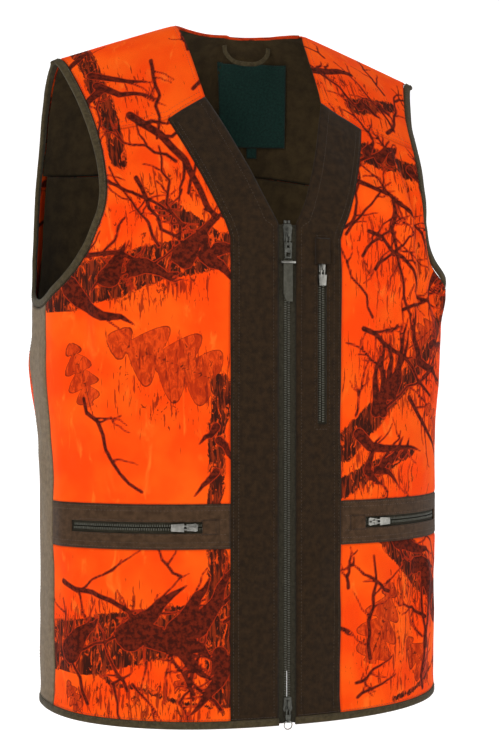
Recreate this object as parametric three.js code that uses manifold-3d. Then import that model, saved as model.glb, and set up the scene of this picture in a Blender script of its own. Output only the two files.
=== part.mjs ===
// Blaze orange field vest, size L, closed by a two-way front zip.
// Millimetres, +Z up, front faces -Y, the wearer's right side is -X.
// Heights are worked out above the hem; the group is then lowered so that its
// origin is the point midway between the shoulder ridges, where a wearer carries it.
import * as THREE from 'three';
import { mergeVertices } from 'three/addons/utils/BufferGeometryUtils.js';
import Module from 'manifold-3d';

const wasm = await Module();
wasm.setup();

// ---- driving dimensions -------------------------------------------------------
const HEM_HALF_WIDTH = 217;
const CHEST_HALF_WIDTH = 226;
const FRONT_DEPTH = 137;
const BACK_DEPTH = 148;
const SECTION_POWER = 2.4;        // roundness of the horizontal sections
const WAIST_HEIGHT = 240;         // where the side starts to widen
const ARMPIT_HEIGHT = 430;
const YOKE_BASE = 505;            // where front and back start to lean to the shoulder
const NECK_HEIGHT = 726.5;
const NECK_HALF_WIDTH = 74.4;
const SHOULDER_DROP = 48;         // neck point down to shoulder tip
const SHOULDER_HALF_WIDTH = 209;
const RIDGE_Y = 4;                // the shoulder ridge, a little behind the middle
const HEM_RISE = 7;               // the hem is this much higher at the sides

const SHELL = 1.4;                // outer fabric
const LINING = 1.0;
const LINING_INSET = 2.4;         // outer face of the shell to outer face of the lining
const BACK_ROOM = 2.6;            // the lining hangs this much looser at the back
const POCKET_ROOM = 4.6;          // extra room for the pockets behind the front
const SEAM_GAP = 0.7;             // between neighbouring pieces along a seam
const BINDING_WIDTH = 8;
const BINDING_OUT = 0.6;          // binding stands proud of the shell
const BINDING_THICK = 4.6;
const ARM_GAP = 1.5;              // panels stay this far inside the armhole binding

const PLACKET_HALF = 60;          // centre line to placket seam
const PLACKET_INNER = 9.5;        // centre line to placket edge
const NECK_V_TOP = 504;           // bottom of the V neck
const V_YOKE_X = 65;              // where the V edge meets the yoke seam
const V_YOKE_Z = 640;
const YOKE_MID_X = 108;           // where the placket seam meets the yoke seam
const YOKE_MID_Z = 613;
const YOKE_ARM_Z = 595;
const BAND_LOW = 179;
const BAND_HIGH = 224;
const SIDE_SEAM = 82;             // degrees round the section from the front
const BACK_SEAM = 104;
const BACK_YOKE_Z = 570;
const FACING_Z = 590;

const ZIP_TOP = 504;
const ZIP_BOTTOM = 10;
const ZIP_INSET = 2.3;            // middle of the zip behind the shell face
const TEETH_HALF = 3.2;
const TEETH_SLIT = 0.6;
const TEETH_THICK = 2.4;
const TAPE_THICK = 0.6;
const TAPE_GAP = 0.4;
const TAPE_OUTER = 14;

const SLIDER_LENGTH = 17;
const SLIDER_HALF = 5;
const SLIDER_PLATE = 1;
const SLIDER_GAP = 0.35;          // plate to teeth
const SLIDER_WEB = 0.6;
const SLIDER_WEB_LENGTH = 6;

const CHEST_X = 38;
const CHEST_LOW = 303;
const CHEST_HIGH = 487;
const GARAGE_LENGTH = 27;
const APERTURE_HALF = 5.5;
const SMALL_SLIDER = 11;

const POCKET_Z = 201;
const POCKET_IN = 72;
const POCKET_OUT = 203;
const POCKET_GARAGE = 18;
const ARC_CX = 60.9;              // axis of the arc that the hand pocket zips follow
const ARC_CY = 43.8;
const ARC_R = 176.2;

const LABEL_X = 36;
const LABEL_WIDTH = 74;
const LABEL_TOP = 698;
const LABEL_HEIGHT = 86;
const LOOP_X = 20;
const LOOP_HALF = 26;
const LOOP_DROP = 17;
const LOOP_WIDTH = 5;
const LOOP_THICK = 1.4;

// ---- the form ------------------------------------------------------------------
const DEG = Math.PI / 180;
const UPPER = 263;                // height coordinate from YOKE_BASE to the ridge
const RIDGE_H = YOKE_BASE + UPPER;
const clamp01 = (v) => Math.min(1, Math.max(0, v));
const smooth = (v) => { const t = clamp01(v); return t * t * (3 - 2 * t); };
const lerp = (a, b, t) => a + (b - a) * t;

const halfWidth = (h) => lerp(HEM_HALF_WIDTH, CHEST_HALF_WIDTH,
  smooth((h - WAIST_HEIGHT) / (ARMPIT_HEIGHT - WAIST_HEIGHT)));

const ROUND = 40;
const SLOPE = SHOULDER_DROP
  / (Math.hypot(SHOULDER_HALF_WIDTH, ROUND) - Math.hypot(NECK_HALF_WIDTH, ROUND));
const ridgeZ = (x) => NECK_HEIGHT
  - SLOPE * (Math.hypot(x, ROUND) - Math.hypot(NECK_HALF_WIDTH, ROUND));

function bezier(p0, p1, p2, p3, t) {
  const u = 1 - t;
  return u * u * u * p0 + 3 * u * u * t * p1 + 3 * u * t * t * p2 + t * t * t * p3;
}

// Upper part of a profile: t = 0 at YOKE_BASE, 1 on the ridge.
const lean = (t, front) => front
  ? { out: bezier(1, 1, 0.12, 0, t), up: bezier(0, 0.28, 1, 1, t) }
  : { out: bezier(1, 1, 0.35, 0, t), up: bezier(0, 0.45, 1, 1, t) };

// Section: angle in degrees from the front centre, positive to the wearer's left.
function section(angle, h) {
  const a = halfWidth(Math.min(h, YOKE_BASE));
  const s = Math.sin(angle * DEG);
  const c = Math.cos(angle * DEG);
  const x = a * Math.sign(s) * Math.abs(s) ** (2 / SECTION_POWER);
  const depth = c > 0 ? -FRONT_DEPTH : BACK_DEPTH;
  let y = depth * Math.abs(c) ** (2 / SECTION_POWER);
  let px = x;
  const zone = smooth(1 - (Math.abs(h - POCKET_Z) - 16) / 50)
    * smooth((Math.abs(x) - ARC_CX) / 12) * smooth((POCKET_OUT + 12 - Math.abs(x)) / 7);
  if (c > 0 && zone > 0) {        // round the pocket zone into a true arc
    const dx = Math.abs(x) - ARC_CX;
    const dy = y - ARC_CY;
    const k = lerp(1, ARC_R / Math.hypot(dx, dy), zone);
    px = Math.sign(x) * (ARC_CX + dx * k);
    y = ARC_CY + dy * k;
  }
  return [px, y];
}

function surface(turned, h) {
  const angle = turned > 180 ? turned - 360 : turned;
  if (h > RIDGE_H) return surface((angle < 0 ? -180 : 180) - angle, 2 * RIDGE_H - h);
  const [x, y] = section(angle, h);
  if (h <= YOKE_BASE) return new THREE.Vector3(x, y, h);
  const { out, up } = lean((h - YOKE_BASE) / UPPER, Math.abs(angle) < 90);
  return new THREE.Vector3(x, RIDGE_Y + (y - RIDGE_Y) * out,
    YOKE_BASE + (ridgeZ(x) - YOKE_BASE) * up);
}

function normal(angle, h) {
  const e = 0.05;
  const du = surface(angle + e, h).sub(surface(angle - e, h));
  const dh = surface(angle, h + 0.2).sub(surface(angle, h - 0.2));
  return du.cross(dh).normalize();
}

const at = (angle, h, out) => surface(angle, h).addScaledVector(normal(angle, h), out);

// Angle of a point at width x, and height coordinate of a point at height z.
function angleAt(x, h = YOKE_BASE, back = false) {
  const ratio = Math.min(1, Math.abs(x) / halfWidth(Math.min(h, YOKE_BASE)));
  const a = Math.asin(ratio ** (SECTION_POWER / 2)) / DEG;
  return back ? 180 - Math.sign(x) * a : Math.sign(x) * a;
}
function heightAt(x, z, back = false) {
  if (z <= YOKE_BASE) return z;
  const want = (z - YOKE_BASE) / (ridgeZ(x) - YOKE_BASE);
  let lo = 0;
  let hi = 1;
  for (let i = 0; i < 40; i += 1) {
    const mid = (lo + hi) / 2;
    if (lean(mid, !back).up < want) lo = mid; else hi = mid;
  }
  return YOKE_BASE + UPPER * (lo + hi) / 2;
}

// A straight-sided line through [position, value] pairs.
function through(points) {
  return (v) => {
    let i = 0;
    while (i < points.length - 2 && v > points[i + 1][0]) i += 1;
    const [[x0, y0], [x1, y1]] = [points[i], points[i + 1]];
    return lerp(y0, y1, (v - x0) / (x1 - x0));
  };
}

// ---- seam lines, for the wearer's left; the right is their mirror ----------------
const hem = (angle) => HEM_RISE * Math.sin(angle * DEG) ** 2;
const hemTop = (angle) => hem(angle) + BINDING_WIDTH;
const vPoint = heightAt(V_YOKE_X, V_YOKE_Z);
const yokeMid = heightAt(YOKE_MID_X, YOKE_MID_Z);
const yokeArm = heightAt(184, YOKE_ARM_Z);

const tipAngle = angleAt(SHOULDER_HALF_WIDTH);
const ARM_SCALE = 2.5;            // evens out degrees and millimetres along the curve
const armPath = new THREE.CatmullRomCurve3([[tipAngle, RIDGE_H], [51.6, yokeArm], [51, 526],
  [59.7, 476], [73.3, 445], [90, ARMPIT_HEIGHT], [103, 446], [110, 484], [113.5, 560],
  [180 - tipAngle, RIDGE_H]].map(([angle, h]) => new THREE.Vector3(angle * ARM_SCALE, h, 0)));
const ARM_STEPS = 44;

// The armhole edge moved into the fabric by some millimetres, as [angle, height] pairs.
function armLine(inset) {
  return Array.from({ length: ARM_STEPS + 1 }, (_, i) => {
    const p = armPath.getPoint(i / ARM_STEPS);
    const [angle, h] = [p.x / ARM_SCALE, p.y];
    const t = armPath.getTangent(i / ARM_STEPS);
    const du = surface(angle + 0.1, h).sub(surface(angle - 0.1, h)).multiplyScalar(5);
    const dh = surface(angle, h + 0.2).sub(surface(angle, h - 0.2)).multiplyScalar(2.5);
    const along = du.clone().multiplyScalar(t.x / ARM_SCALE).addScaledVector(dh, t.y);
    const away = along.clone().cross(normal(angle, h)).normalize().multiplyScalar(inset);
    const [uu, uh, hh] = [du.dot(du), du.dot(dh), dh.dot(dh)];
    const [au, ah] = [away.dot(du), away.dot(dh)];
    const det = uu * hh - uh * uh;
    const end = i === 0 || i === ARM_STEPS;
    return [angle + (au * hh - ah * uh) / det,
      end ? RIDGE_H : Math.min(RIDGE_H, h + (ah * uu - au * uh) / det)];
  });
}
function look(pairs, from, to, value) {
  let i = 0;
  while (i < pairs.length - 2 && !((pairs[i][from] - value) * (pairs[i + 1][from] - value) <= 0)) {
    i += 1;
  }
  const [p, q] = [pairs[i], pairs[i + 1]];
  return lerp(p[to], q[to], (value - p[from]) / (q[from] - p[from]));
}
const armInner = armLine(BINDING_WIDTH + ARM_GAP);
const lowest = armInner.reduce((m, p, i) => (p[1] < armInner[m][1] ? i : m), 0);
const frontArm = armInner.slice(0, lowest + 1);
const backArm = armInner.slice(lowest);
const ARM_LOW = armInner[lowest][1];
const armFront = (h) => look(frontArm, 1, 0, h);
const armBack = (h) => look(backArm, 1, 0, h);
const armUnder = (angle) => look(armInner, 0, 1, angle);

// Width of one degree, in mm, to hold a seam off by a distance.
const degree = (angle, h) => surface(angle + 0.5, h).distanceTo(surface(angle - 0.5, h));
const shift = (angle, h, mm) => angle + mm / degree(angle, h);

const placketEdge = (h) => (h <= NECK_V_TOP ? angleAt(PLACKET_INNER, h)
  : angleAt(lerp(PLACKET_INNER, V_YOKE_X, (h - NECK_V_TOP) / (vPoint - NECK_V_TOP)), h));
const PLACKET_TURN = 490;
const placketSeam = (h) => (h <= PLACKET_TURN ? angleAt(PLACKET_HALF, h)
  : angleAt(lerp(PLACKET_HALF, YOKE_MID_X, (h - PLACKET_TURN) / (yokeMid - PLACKET_TURN)), h));
const neckEdge = (h) => angleAt(lerp(V_YOKE_X, NECK_HALF_WIDTH,
  clamp01((h - vPoint) / (RIDGE_H - vPoint))), h);
const frontEdge = (h) => (h < vPoint ? placketEdge(h) : neckEdge(h));
const yokeSeam = (angle) => through([[angleAt(V_YOKE_X), vPoint], [angleAt(YOKE_MID_X), yokeMid],
  [51.6, yokeArm]])(angle);

const backNeck = heightAt(0, 728, true);
const neckAngle = 180 - angleAt(NECK_HALF_WIDTH);
function backTop(angle) {         // ridge, dipping to the back of the neck
  const across = clamp01((180 - Math.abs(180 - angle) - neckAngle) / (180 - neckAngle));
  return RIDGE_H - SEAM_GAP - (RIDGE_H - backNeck) * Math.sin(across * Math.PI / 2) ** 0.8;
}

// ---- solids ----------------------------------------------------------------------
function closedGrid(nu, nv, outer, inner, hole = () => false) {
  // Two skins of nu x nv cells joined by walls round the rim and round any hole.
  const positions = [];
  const push = (...pts) => pts.forEach((p) => positions.push(p.x, p.y, p.z));
  const quad = (a, b, c, d) => push(a, b, c, a, c, d);
  const solid = (i, j) => i >= 0 && j >= 0 && i < nu && j < nv && !hole(i, j);
  for (let i = 0; i < nu; i += 1) {
    for (let j = 0; j < nv; j += 1) {
      if (!solid(i, j)) continue;
      const o = [outer(i, j), outer(i + 1, j), outer(i + 1, j + 1), outer(i, j + 1)];
      const n = [inner(i, j), inner(i + 1, j), inner(i + 1, j + 1), inner(i, j + 1)];
      quad(o[0], o[1], o[2], o[3]);
      quad(n[3], n[2], n[1], n[0]);
      if (!solid(i, j - 1)) quad(n[0], n[1], o[1], o[0]);
      if (!solid(i + 1, j)) quad(n[1], n[2], o[2], o[1]);
      if (!solid(i, j + 1)) quad(n[2], n[3], o[3], o[2]);
      if (!solid(i - 1, j)) quad(n[3], n[0], o[0], o[3]);
    }
  }
  const geometry = new THREE.BufferGeometry();
  geometry.setAttribute('position', new THREE.Float32BufferAttribute(positions, 3));
  return geometry;
}

// A panel between two edges and two seams. side -1 mirrors it to the wearer's right.
// cols and rows are counts, or lists of fractions from 0 to 1.
const steps = (n) => (Array.isArray(n) ? n : Array.from({ length: n + 1 }, (_, k) => k / n));
// Rows given as levels are heights that hold exactly away from the two seams.
const SEAM_SHARE = [0.08, 0.2];   // share of the rows that bend to the low and the high seam
function panel({ left, right, low, high, cols, rows, levels, out = 0, thick = SHELL, side = 1,
  room, hole }) {
  const across = steps(cols);
  const [first, top] = levels ? [levels[0], levels[levels.length - 1]] : [0, 1];
  const up = levels ? levels.map((h) => (h - first) / (top - first)) : steps(rows);
  const raise = (angle, t) => (levels
    ? lerp(first, top, t) + (low(angle) - first) * (1 - smooth(t / SEAM_SHARE[0]))
      + (high(angle) - top) * smooth((t - 1 + SEAM_SHARE[1]) / SEAM_SHARE[1])
    : lerp(low(angle), high(angle), t));
  const last = across.length - 1;
  const spots = new Map();
  const spot = (i, j) => {
    const key = i * 1000 + j;
    if (!spots.has(key)) {
      let h = raise(60, up[j]);
      let angle = lerp(left(h), right(h), across[i]);
      for (let k = 0; k < 12; k += 1) {
        h = raise(angle, up[j]);
        angle = lerp(left(h), right(h), across[i]);
      }
      spots.set(key, [angle, h, room ? room(angle, h) : 0]);
    }
    return spots.get(key);
  };
  const place = (i, j, depth) => {
    const [angle, h, extra] = spot(side > 0 ? i : last - i, j);
    return at(side * angle, h, out - extra - depth);
  };
  return closedGrid(last, up.length - 1, (i, j) => place(i, j, 0), (i, j) => place(i, j, thick),
    hole && ((i, j) => hole(side > 0 ? i : last - 1 - i, j)));
}

// A rectangular bar swept along points, wide along one given direction at each point.
function sweep(points, wides, thicks, width, thick, loop = false) {
  const n = points.length;
  const ring = (i) => {
    const p = points[i % n];
    const w = wides[i % n].clone().multiplyScalar(width / 2);
    const t = thicks[i % n].clone().multiplyScalar(thick / 2);
    return [p.clone().sub(w).sub(t), p.clone().add(w).sub(t), p.clone().add(w).add(t),
      p.clone().sub(w).add(t)];
  };
  const positions = [];
  const push = (...pts) => pts.forEach((p) => positions.push(p.x, p.y, p.z));
  const count = loop ? n : n - 1;
  for (let i = 0; i < count; i += 1) {
    const a = ring(i);
    const b = ring(i + 1);
    for (let k = 0; k < 4; k += 1) {
      const m = (k + 1) % 4;
      push(a[k], a[m], b[m], a[k], b[m], b[k]);
    }
  }
  if (!loop) {
    const a = ring(0);
    const b = ring(n - 1);
    push(a[0], a[3], a[2], a[0], a[2], a[1]);
    push(b[0], b[1], b[2], b[0], b[2], b[3]);
  }
  const geometry = new THREE.BufferGeometry();
  geometry.setAttribute('position', new THREE.Float32BufferAttribute(positions, 3));
  return outward(geometry);
}

function signedVolume(geometry) {
  const p = geometry.attributes.position;
  const v = [new THREE.Vector3(), new THREE.Vector3(), new THREE.Vector3()];
  let total = 0;
  for (let i = 0; i < p.count; i += 3) {
    v.forEach((q, k) => q.fromBufferAttribute(p, i + k));
    total += v[0].dot(v[1].clone().cross(v[2]));
  }
  return total / 6;
}
function outward(geometry) {
  if (signedVolume(geometry) >= 0) return geometry;
  const p = geometry.attributes.position.array;
  for (let i = 0; i < p.length; i += 9) {
    for (let k = 0; k < 3; k += 1) [p[i + k], p[i + 6 + k]] = [p[i + 6 + k], p[i + k]];
  }
  return geometry;
}

function toSolid(geometry) {
  const bare = geometry.clone();
  bare.deleteAttribute('normal');
  bare.deleteAttribute('uv');
  const merged = mergeVertices(bare, 1e-4);
  return new wasm.Manifold(new wasm.Mesh({ numProp: 3,
    vertProperties: new Float32Array(merged.attributes.position.array),
    triVerts: new Uint32Array(merged.index.array) }));
}
function fromSolid(solid) {
  const mesh = solid.getMesh();
  const geometry = new THREE.BufferGeometry();
  geometry.setAttribute('position', new THREE.BufferAttribute(
    new Float32Array(mesh.vertProperties), 3));
  geometry.setIndex(new THREE.BufferAttribute(new Uint32Array(mesh.triVerts), 1));
  return geometry;
}
const join = (...parts) => fromSolid(parts.map(toSolid).reduce((a, b) => a.add(b)));
const cut = (body, tool) => fromSolid(toSolid(body).subtract(toSolid(tool)));
const box = (w, d, h, x = 0, y = 0, z = 0) => new THREE.BoxGeometry(w, d, h).translate(x, y, z);

// ---- the group --------------------------------------------------------------------
const vest = new THREE.Group();
const ORIGIN_Z = ridgeZ(NECK_HALF_WIDTH);
const finishes = {
  orange: [0xff4a0a, 0.85, 0], dark: [0x3a2c1c, 0.9, 0], lining: [0x3d3622, 0.85, 0],
  side: [0x5c5545, 0.9, 0], trim: [0x4a4433, 0.85, 0], tape: [0x3b3d33, 0.8, 0],
  teeth: [0x55584c, 0.5, 0], metal: [0x8d8b86, 0.35, 1], dull: [0x6b6d66, 0.45, 1],
  rubber: [0x4a4a38, 0.6, 0], label: [0x10302b, 0.7, 0], bag: [0x2e2c24, 0.9, 0],
};
function add(name, geometry, finish, parent = vest) {
  const [color, roughness, metalness] = finishes[finish];
  const mesh = new THREE.Mesh(geometry,
    new THREE.MeshStandardMaterial({ color, roughness, metalness }));
  mesh.name = name;
  parent.add(mesh);
  return mesh;
}
const SIDES = [['right', -1], ['left', 1]];
const constant = (value) => () => value;
vest.position.z = -ORIGIN_Z;

// ---- fabric panels ------------------------------------------------------------------
const gapUp = (f) => (v) => f(v) + SEAM_GAP / 2;
const gapDown = (f) => (v) => f(v) - SEAM_GAP / 2;
const inward = (f, mm) => (h) => shift(f(h), h, mm);

const sideCorner = look(frontArm, 0, 1, SIDE_SEAM);
const frontSide = (h) => (h <= sideCorner ? shift(SIDE_SEAM, h, -SEAM_GAP / 2) : armFront(h));
const backCorner = look(backArm, 0, 1, BACK_SEAM);
const backSide = (h) => (h <= backCorner ? shift(BACK_SEAM, h, SEAM_GAP / 2) : armBack(h));
const mirrored = (f) => (h) => 360 - f(h);
const marks = (low, high, heights) => [0, ...heights.map((h) => (h - low) / (high - low)), 1];
const RIDGE_LOW = constant(RIDGE_H - SEAM_GAP / 2);

const bandCols = (() => {         // columns of the pocket band, with its opening's ends
  const [first, end] = [angleAt(PLACKET_HALF, POCKET_Z), SIDE_SEAM];
  const cols = [POCKET_IN, 90, 108, 126, 144, 160, 174, 186, 195, POCKET_OUT, 207, 211];
  return marks(first, end, cols.map((x) => angleAt(x, POCKET_Z)));
})();
const aperture = [POCKET_Z - APERTURE_HALF, POCKET_Z + APERTURE_HALF];
const placketAcross = marks(angleAt(PLACKET_INNER), angleAt(PLACKET_HALF),
  [CHEST_X - APERTURE_HALF, CHEST_X + APERTURE_HALF].map((x) => angleAt(x)));
const placketUp = [BINDING_WIDTH, 150, CHEST_LOW, 395, CHEST_HIGH, NECK_V_TOP, 530, 565, 600, vPoint];

for (const [hand, side] of SIDES) {
  add(`${hand}_yoke`, panel({ side, left: inward(neckEdge, SEAM_GAP / 2), right: armFront, cols: 10,
    rows: 8, low: gapUp(yokeSeam), high: RIDGE_LOW }), 'orange');
  add(`${hand}_front_upper`, panel({ side, left: inward(placketSeam, SEAM_GAP / 2),
    right: frontSide, cols: 11, low: constant(BAND_HIGH + SEAM_GAP / 2), high: gapDown(yokeSeam),
    rows: marks(BAND_HIGH, yokeArm, [300, 370, sideCorner - 1, 430, 438, 447, 458, 472, 490, 512,
      540, 565]) }),
  'orange');
  add(`${hand}_front_lower`, panel({ side, left: inward(placketSeam, SEAM_GAP / 2),
    right: frontSide, low: gapUp(hemTop), high: constant(BAND_LOW - SEAM_GAP / 2), cols: 11,
    rows: marks(0, BAND_LOW, [60, 110, 135, 152, 167]) }), 'orange');
  add(`${hand}_placket`, panel({ side, left: frontEdge, right: inward(placketSeam, -SEAM_GAP / 2),
    low: gapUp(hemTop), high: gapDown(yokeSeam), cols: placketAcross, levels: placketUp,
    hole: side > 0 ? (i, j) => i === 1 && (j === 2 || j === 3) : undefined }), 'dark');
  add(`${hand}_pocket_band`, panel({ side, left: inward(placketSeam, SEAM_GAP / 2),
    right: frontSide, low: constant(BAND_LOW + SEAM_GAP / 2),
    high: constant(BAND_HIGH - SEAM_GAP / 2), cols: bandCols,
    rows: marks(BAND_LOW, BAND_HIGH, aperture),
    hole: (i, j) => j === 1 && i > 0 && i < bandCols.length - 4 }), 'dark');
  add(`${hand}_side_panel`, panel({ side, left: (h) => shift(SIDE_SEAM, h, SEAM_GAP / 2),
    right: (h) => shift(BACK_SEAM, h, -SEAM_GAP / 2), low: gapUp(hemTop), high: armUnder,
    cols: 6, rows: marks(0, ARM_LOW, [80, 150, 190, 240, 320]) }), 'side');
}

const backYokeSeam = heightAt(0, BACK_YOKE_Z, true);
const TO_RIDGE = [0, 0.2, 0.4, 0.55, 0.68, 0.8, 0.88, 0.95, 1];
add('back_panel', panel({ left: backSide, right: mirrored(backSide), low: gapUp(hemTop),
  high: constant(backYokeSeam - SEAM_GAP / 2), cols: 22,
  rows: marks(0, backYokeSeam, [110, 220, 330, backCorner - 1, 440, 452, 468, 485, 505]) }),
'orange');
add('back_yoke', panel({ left: armBack, right: mirrored(armBack),
  low: constant(backYokeSeam + SEAM_GAP / 2), high: backTop, cols: 20, rows: TO_RIDGE }), 'orange');

// ---- lining and facing ------------------------------------------------------------------
const LINING_SEAM = 93;           // degrees, under the arm
const LINING_EDGE = 15.5;         // clear of the zip tape
function pocketRoom(angle, h) {
  const x = Math.abs(surface(angle, h).x);
  return POCKET_ROOM * smooth((x - LINING_EDGE - 1) / 9) * smooth((LINING_SEAM - 1 - angle) / 12)
    * smooth((h - BINDING_WIDTH - 6) / 24) * (1 - smooth((h - CHEST_HIGH - 6) / 40))
    * smooth((frontSide(h) + 11 - angle) / 11 + 0.1);
}
const LINING_ROWS = marks(0, RIDGE_H, [20, 36, 120, 180, 222, 300, ARM_LOW, 436, 448, 462, 480,
  500, 528, 558, 608, 658, 708, 742]);
const LINING_BACK_OFF = 3;        // degrees; linings stop a little short of the armhole
const liningSide = (h) => (h <= armUnder(LINING_SEAM) - 2 ? LINING_SEAM
  : Math.min(LINING_SEAM, armFront(Math.min(RIDGE_H, h + 2)) - LINING_BACK_OFF));
const liningFront = (h) => Math.max(angleAt(LINING_EDGE, h), shift(frontEdge(h), h, SEAM_GAP));
const liningAcross = marks(angleAt(LINING_EDGE), LINING_SEAM,
  [22, 30, 54, 86, 114, 138, 160, 180, 198, 211].map((x) => angleAt(x)));
for (const [hand, side] of SIDES) {
  add(`${hand}_front_lining`, panel({ side, left: liningFront, right: (h) => liningSide(h) - 0.4,
    low: gapUp(hemTop), high: RIDGE_LOW, cols: liningAcross, rows: LINING_ROWS,
    out: -LINING_INSET, thick: LINING, room: pocketRoom }), 'lining');
}
const facingSeam = heightAt(0, FACING_Z, true);
const liningBack = (h) => (h <= armUnder(LINING_SEAM) - 2 ? LINING_SEAM
  : Math.max(LINING_SEAM, armBack(Math.min(RIDGE_H, h + 2)) + LINING_BACK_OFF));
add('back_lining', panel({ left: (h) => liningBack(h) + 0.4,
  right: (h) => 359.6 - liningBack(h), low: gapUp(hemTop),
  high: constant(facingSeam - SEAM_GAP / 2), cols: 22, out: -LINING_INSET, thick: LINING,
  room: (angle, h) => BACK_ROOM * smooth((90 - Math.abs(180 - angle) - 5) / 9)
    * smooth((h - BINDING_WIDTH - 4) / 20),
  rows: marks(0, facingSeam, [110, 220, 330, ARM_LOW - 4, 430, 442, 456, 475, 505, 528, 546]) }),
'lining');
const FACING_INSET = LINING_INSET + 0.8;
add('neck_facing', panel({ left: armBack, right: mirrored(armBack),
  low: constant(facingSeam + SEAM_GAP / 2), high: (angle) => backTop(angle) - 1.5, cols: 20,
  rows: TO_RIDGE, out: -FACING_INSET, thick: LINING }), 'lining');

const LABEL_LIFT = FACING_INSET + LINING + 1.5;
const LABEL_THICK = 0.6;
const labelSide = (dx) => (h) => angleAt(LABEL_X + dx, h, true);
const labelLow = heightAt(LABEL_X, LABEL_TOP - LABEL_HEIGHT, true);
add('neck_label', panel({ left: labelSide(LABEL_WIDTH / 2), right: labelSide(-LABEL_WIDTH / 2),
  low: constant(labelLow), high: constant(heightAt(LABEL_X, LABEL_TOP, true)), cols: 6, rows: 6,
  out: -LABEL_LIFT, thick: LABEL_THICK }), 'label');
const TAB_SIZE = 12;
add('size_tab', panel({ left: labelSide(TAB_SIZE / 2), right: labelSide(-TAB_SIZE / 2),
  low: constant(heightAt(LABEL_X, LABEL_TOP - LABEL_HEIGHT - TAB_SIZE, true)),
  high: constant(labelLow - 0.4), cols: 1, rows: 1, out: -LABEL_LIFT, thick: LABEL_THICK }), 'label');

// ---- bindings -----------------------------------------------------------------------------
const BINDING_MID = BINDING_OUT - BINDING_THICK / 2;
for (const [hand, side] of SIDES) {
  const line = armLine(BINDING_WIDTH / 2).slice(0, ARM_STEPS);
  const points = line.map(([angle, h]) => at(side * angle, h, BINDING_MID));
  const thicks = line.map(([angle, h]) => normal(side * angle, h));
  const wides = points.map((p, i) => {
    const along = points[(i + 1) % ARM_STEPS].clone().sub(points[(i + ARM_STEPS - 1) % ARM_STEPS]);
    return along.cross(thicks[i]).normalize();
  });
  add(`${hand}_armhole_binding`, sweep(points, wides, thicks, BINDING_WIDTH, BINDING_THICK, true),
    'trim');
}
{
  const first = angleAt(PLACKET_INNER, 0);
  const stops = [first, 7, 14, 22, 30, 38, 46, 54, 62, 70, 78, 84, 90, 96, 102, 110, 118, 126, 134,
    142, 150, 158, 166, 174];
  const angles = [...stops, ...stops.map((a) => 360 - a).reverse()];
  const mid = (a) => hem(a) + BINDING_WIDTH / 2;
  const points = angles.map((a) => at(a, mid(a), BINDING_MID));
  add('hem_binding', sweep(points, points.map(() => new THREE.Vector3(0, 0, 1)),
    angles.map((a) => normal(a, mid(a)).setZ(0).normalize()), BINDING_WIDTH, BINDING_THICK), 'trim');
}

// ---- front zip -----------------------------------------------------------------------------
const ZIP_Y = -FRONT_DEPTH + ZIP_INSET;
const TEETH_LOW = 16;
const span = (x0, x1, thick, z0, z1, y = 0) => box(x1 - x0, thick, z1 - z0, (x0 + x1) / 2, y,
  (z0 + z1) / 2);
const zip = new THREE.Group();
zip.position.y = ZIP_Y;
vest.add(zip);
for (const [hand, side] of SIDES) {
  const strip = (x0, x1, thick, z0, z1) => {
    const [a, b] = [side * x0, side * x1];
    return span(Math.min(a, b), Math.max(a, b), thick, z0, z1);
  };
  add(`${hand}_zip_tape`, strip(TEETH_HALF + TAPE_GAP, TAPE_OUTER, TAPE_THICK, ZIP_BOTTOM,
    ZIP_TOP - 1), 'tape', zip);
  add(`${hand}_zip_teeth`, strip(TEETH_SLIT, TEETH_HALF, TEETH_THICK, TEETH_LOW, ZIP_TOP - 4),
    'teeth', zip);
  add(`${hand}_top_stop`, strip(TEETH_SLIT, TEETH_HALF, TEETH_THICK, ZIP_TOP + 0.4, ZIP_TOP + 3.4),
    'dull', zip);
}

const BAIL_WIDTH = 1.6;
const BAIL_LENGTH = 9;
const BAIL_HEIGHT = 3;
const PIN = 1.2;                  // thickness of a pull's cross pin
const PIN_CLEAR = 0.35;

// A slider straddling the teeth: two shield-shaped plates joined by a web at its wide end,
// and a bail on the front. Its origin is the middle of the teeth; the wide end is at +Z.
const PLATE_AT = TEETH_THICK / 2 + SLIDER_GAP + SLIDER_PLATE / 2;
function slider(length, half, bailLength, bailHeight) {
  const shape = new THREE.Shape();
  const [top, low] = [length / 2, -length / 2];
  shape.moveTo(-half * 0.8, low);
  shape.lineTo(half * 0.8, low);
  shape.lineTo(half * 0.8, low + length * 0.35);
  shape.quadraticCurveTo(half * 0.85, top - length * 0.3, half, top - length * 0.22);
  shape.lineTo(half * 0.75, top);
  shape.lineTo(-half * 0.75, top);
  shape.lineTo(-half, top - length * 0.22);
  shape.quadraticCurveTo(-half * 0.85, top - length * 0.3, -half * 0.8, low + length * 0.35);
  const plate = (y) => new THREE.ExtrudeGeometry(shape,
    { depth: SLIDER_PLATE, bevelEnabled: false, curveSegments: 2 })
    .rotateX(Math.PI / 2).translate(0, y + SLIDER_PLATE / 2, 0);
  const web = box(SLIDER_WEB, 2 * PLATE_AT, SLIDER_WEB_LENGTH, 0, 0,
    top - SLIDER_WEB_LENGTH / 2 - 1);
  const face = -PLATE_AT - SLIDER_PLATE / 2;
  const wall = 1;
  const bar = box(BAIL_WIDTH, wall, bailLength, 0, face - bailHeight + wall / 2, 0);
  const posts = [-1, 1].map((end) => box(BAIL_WIDTH, bailHeight, wall, 0,
    face - bailHeight / 2 + 0.1, end * (bailLength - wall) / 2));
  return join(plate(-PLATE_AT), plate(PLATE_AT), web, bar, ...posts);
}
const slideFace = -PLATE_AT - SLIDER_PLATE / 2;
const pinY = slideFace - PIN / 2 - PIN_CLEAR;
const ARM_AT = BAIL_WIDTH / 2 + PIN_CLEAR + PIN / 2;
const pinDrop = (bailLength) => -(bailLength / 2 - 1 - PIN / 2 - PIN_CLEAR);

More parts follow.
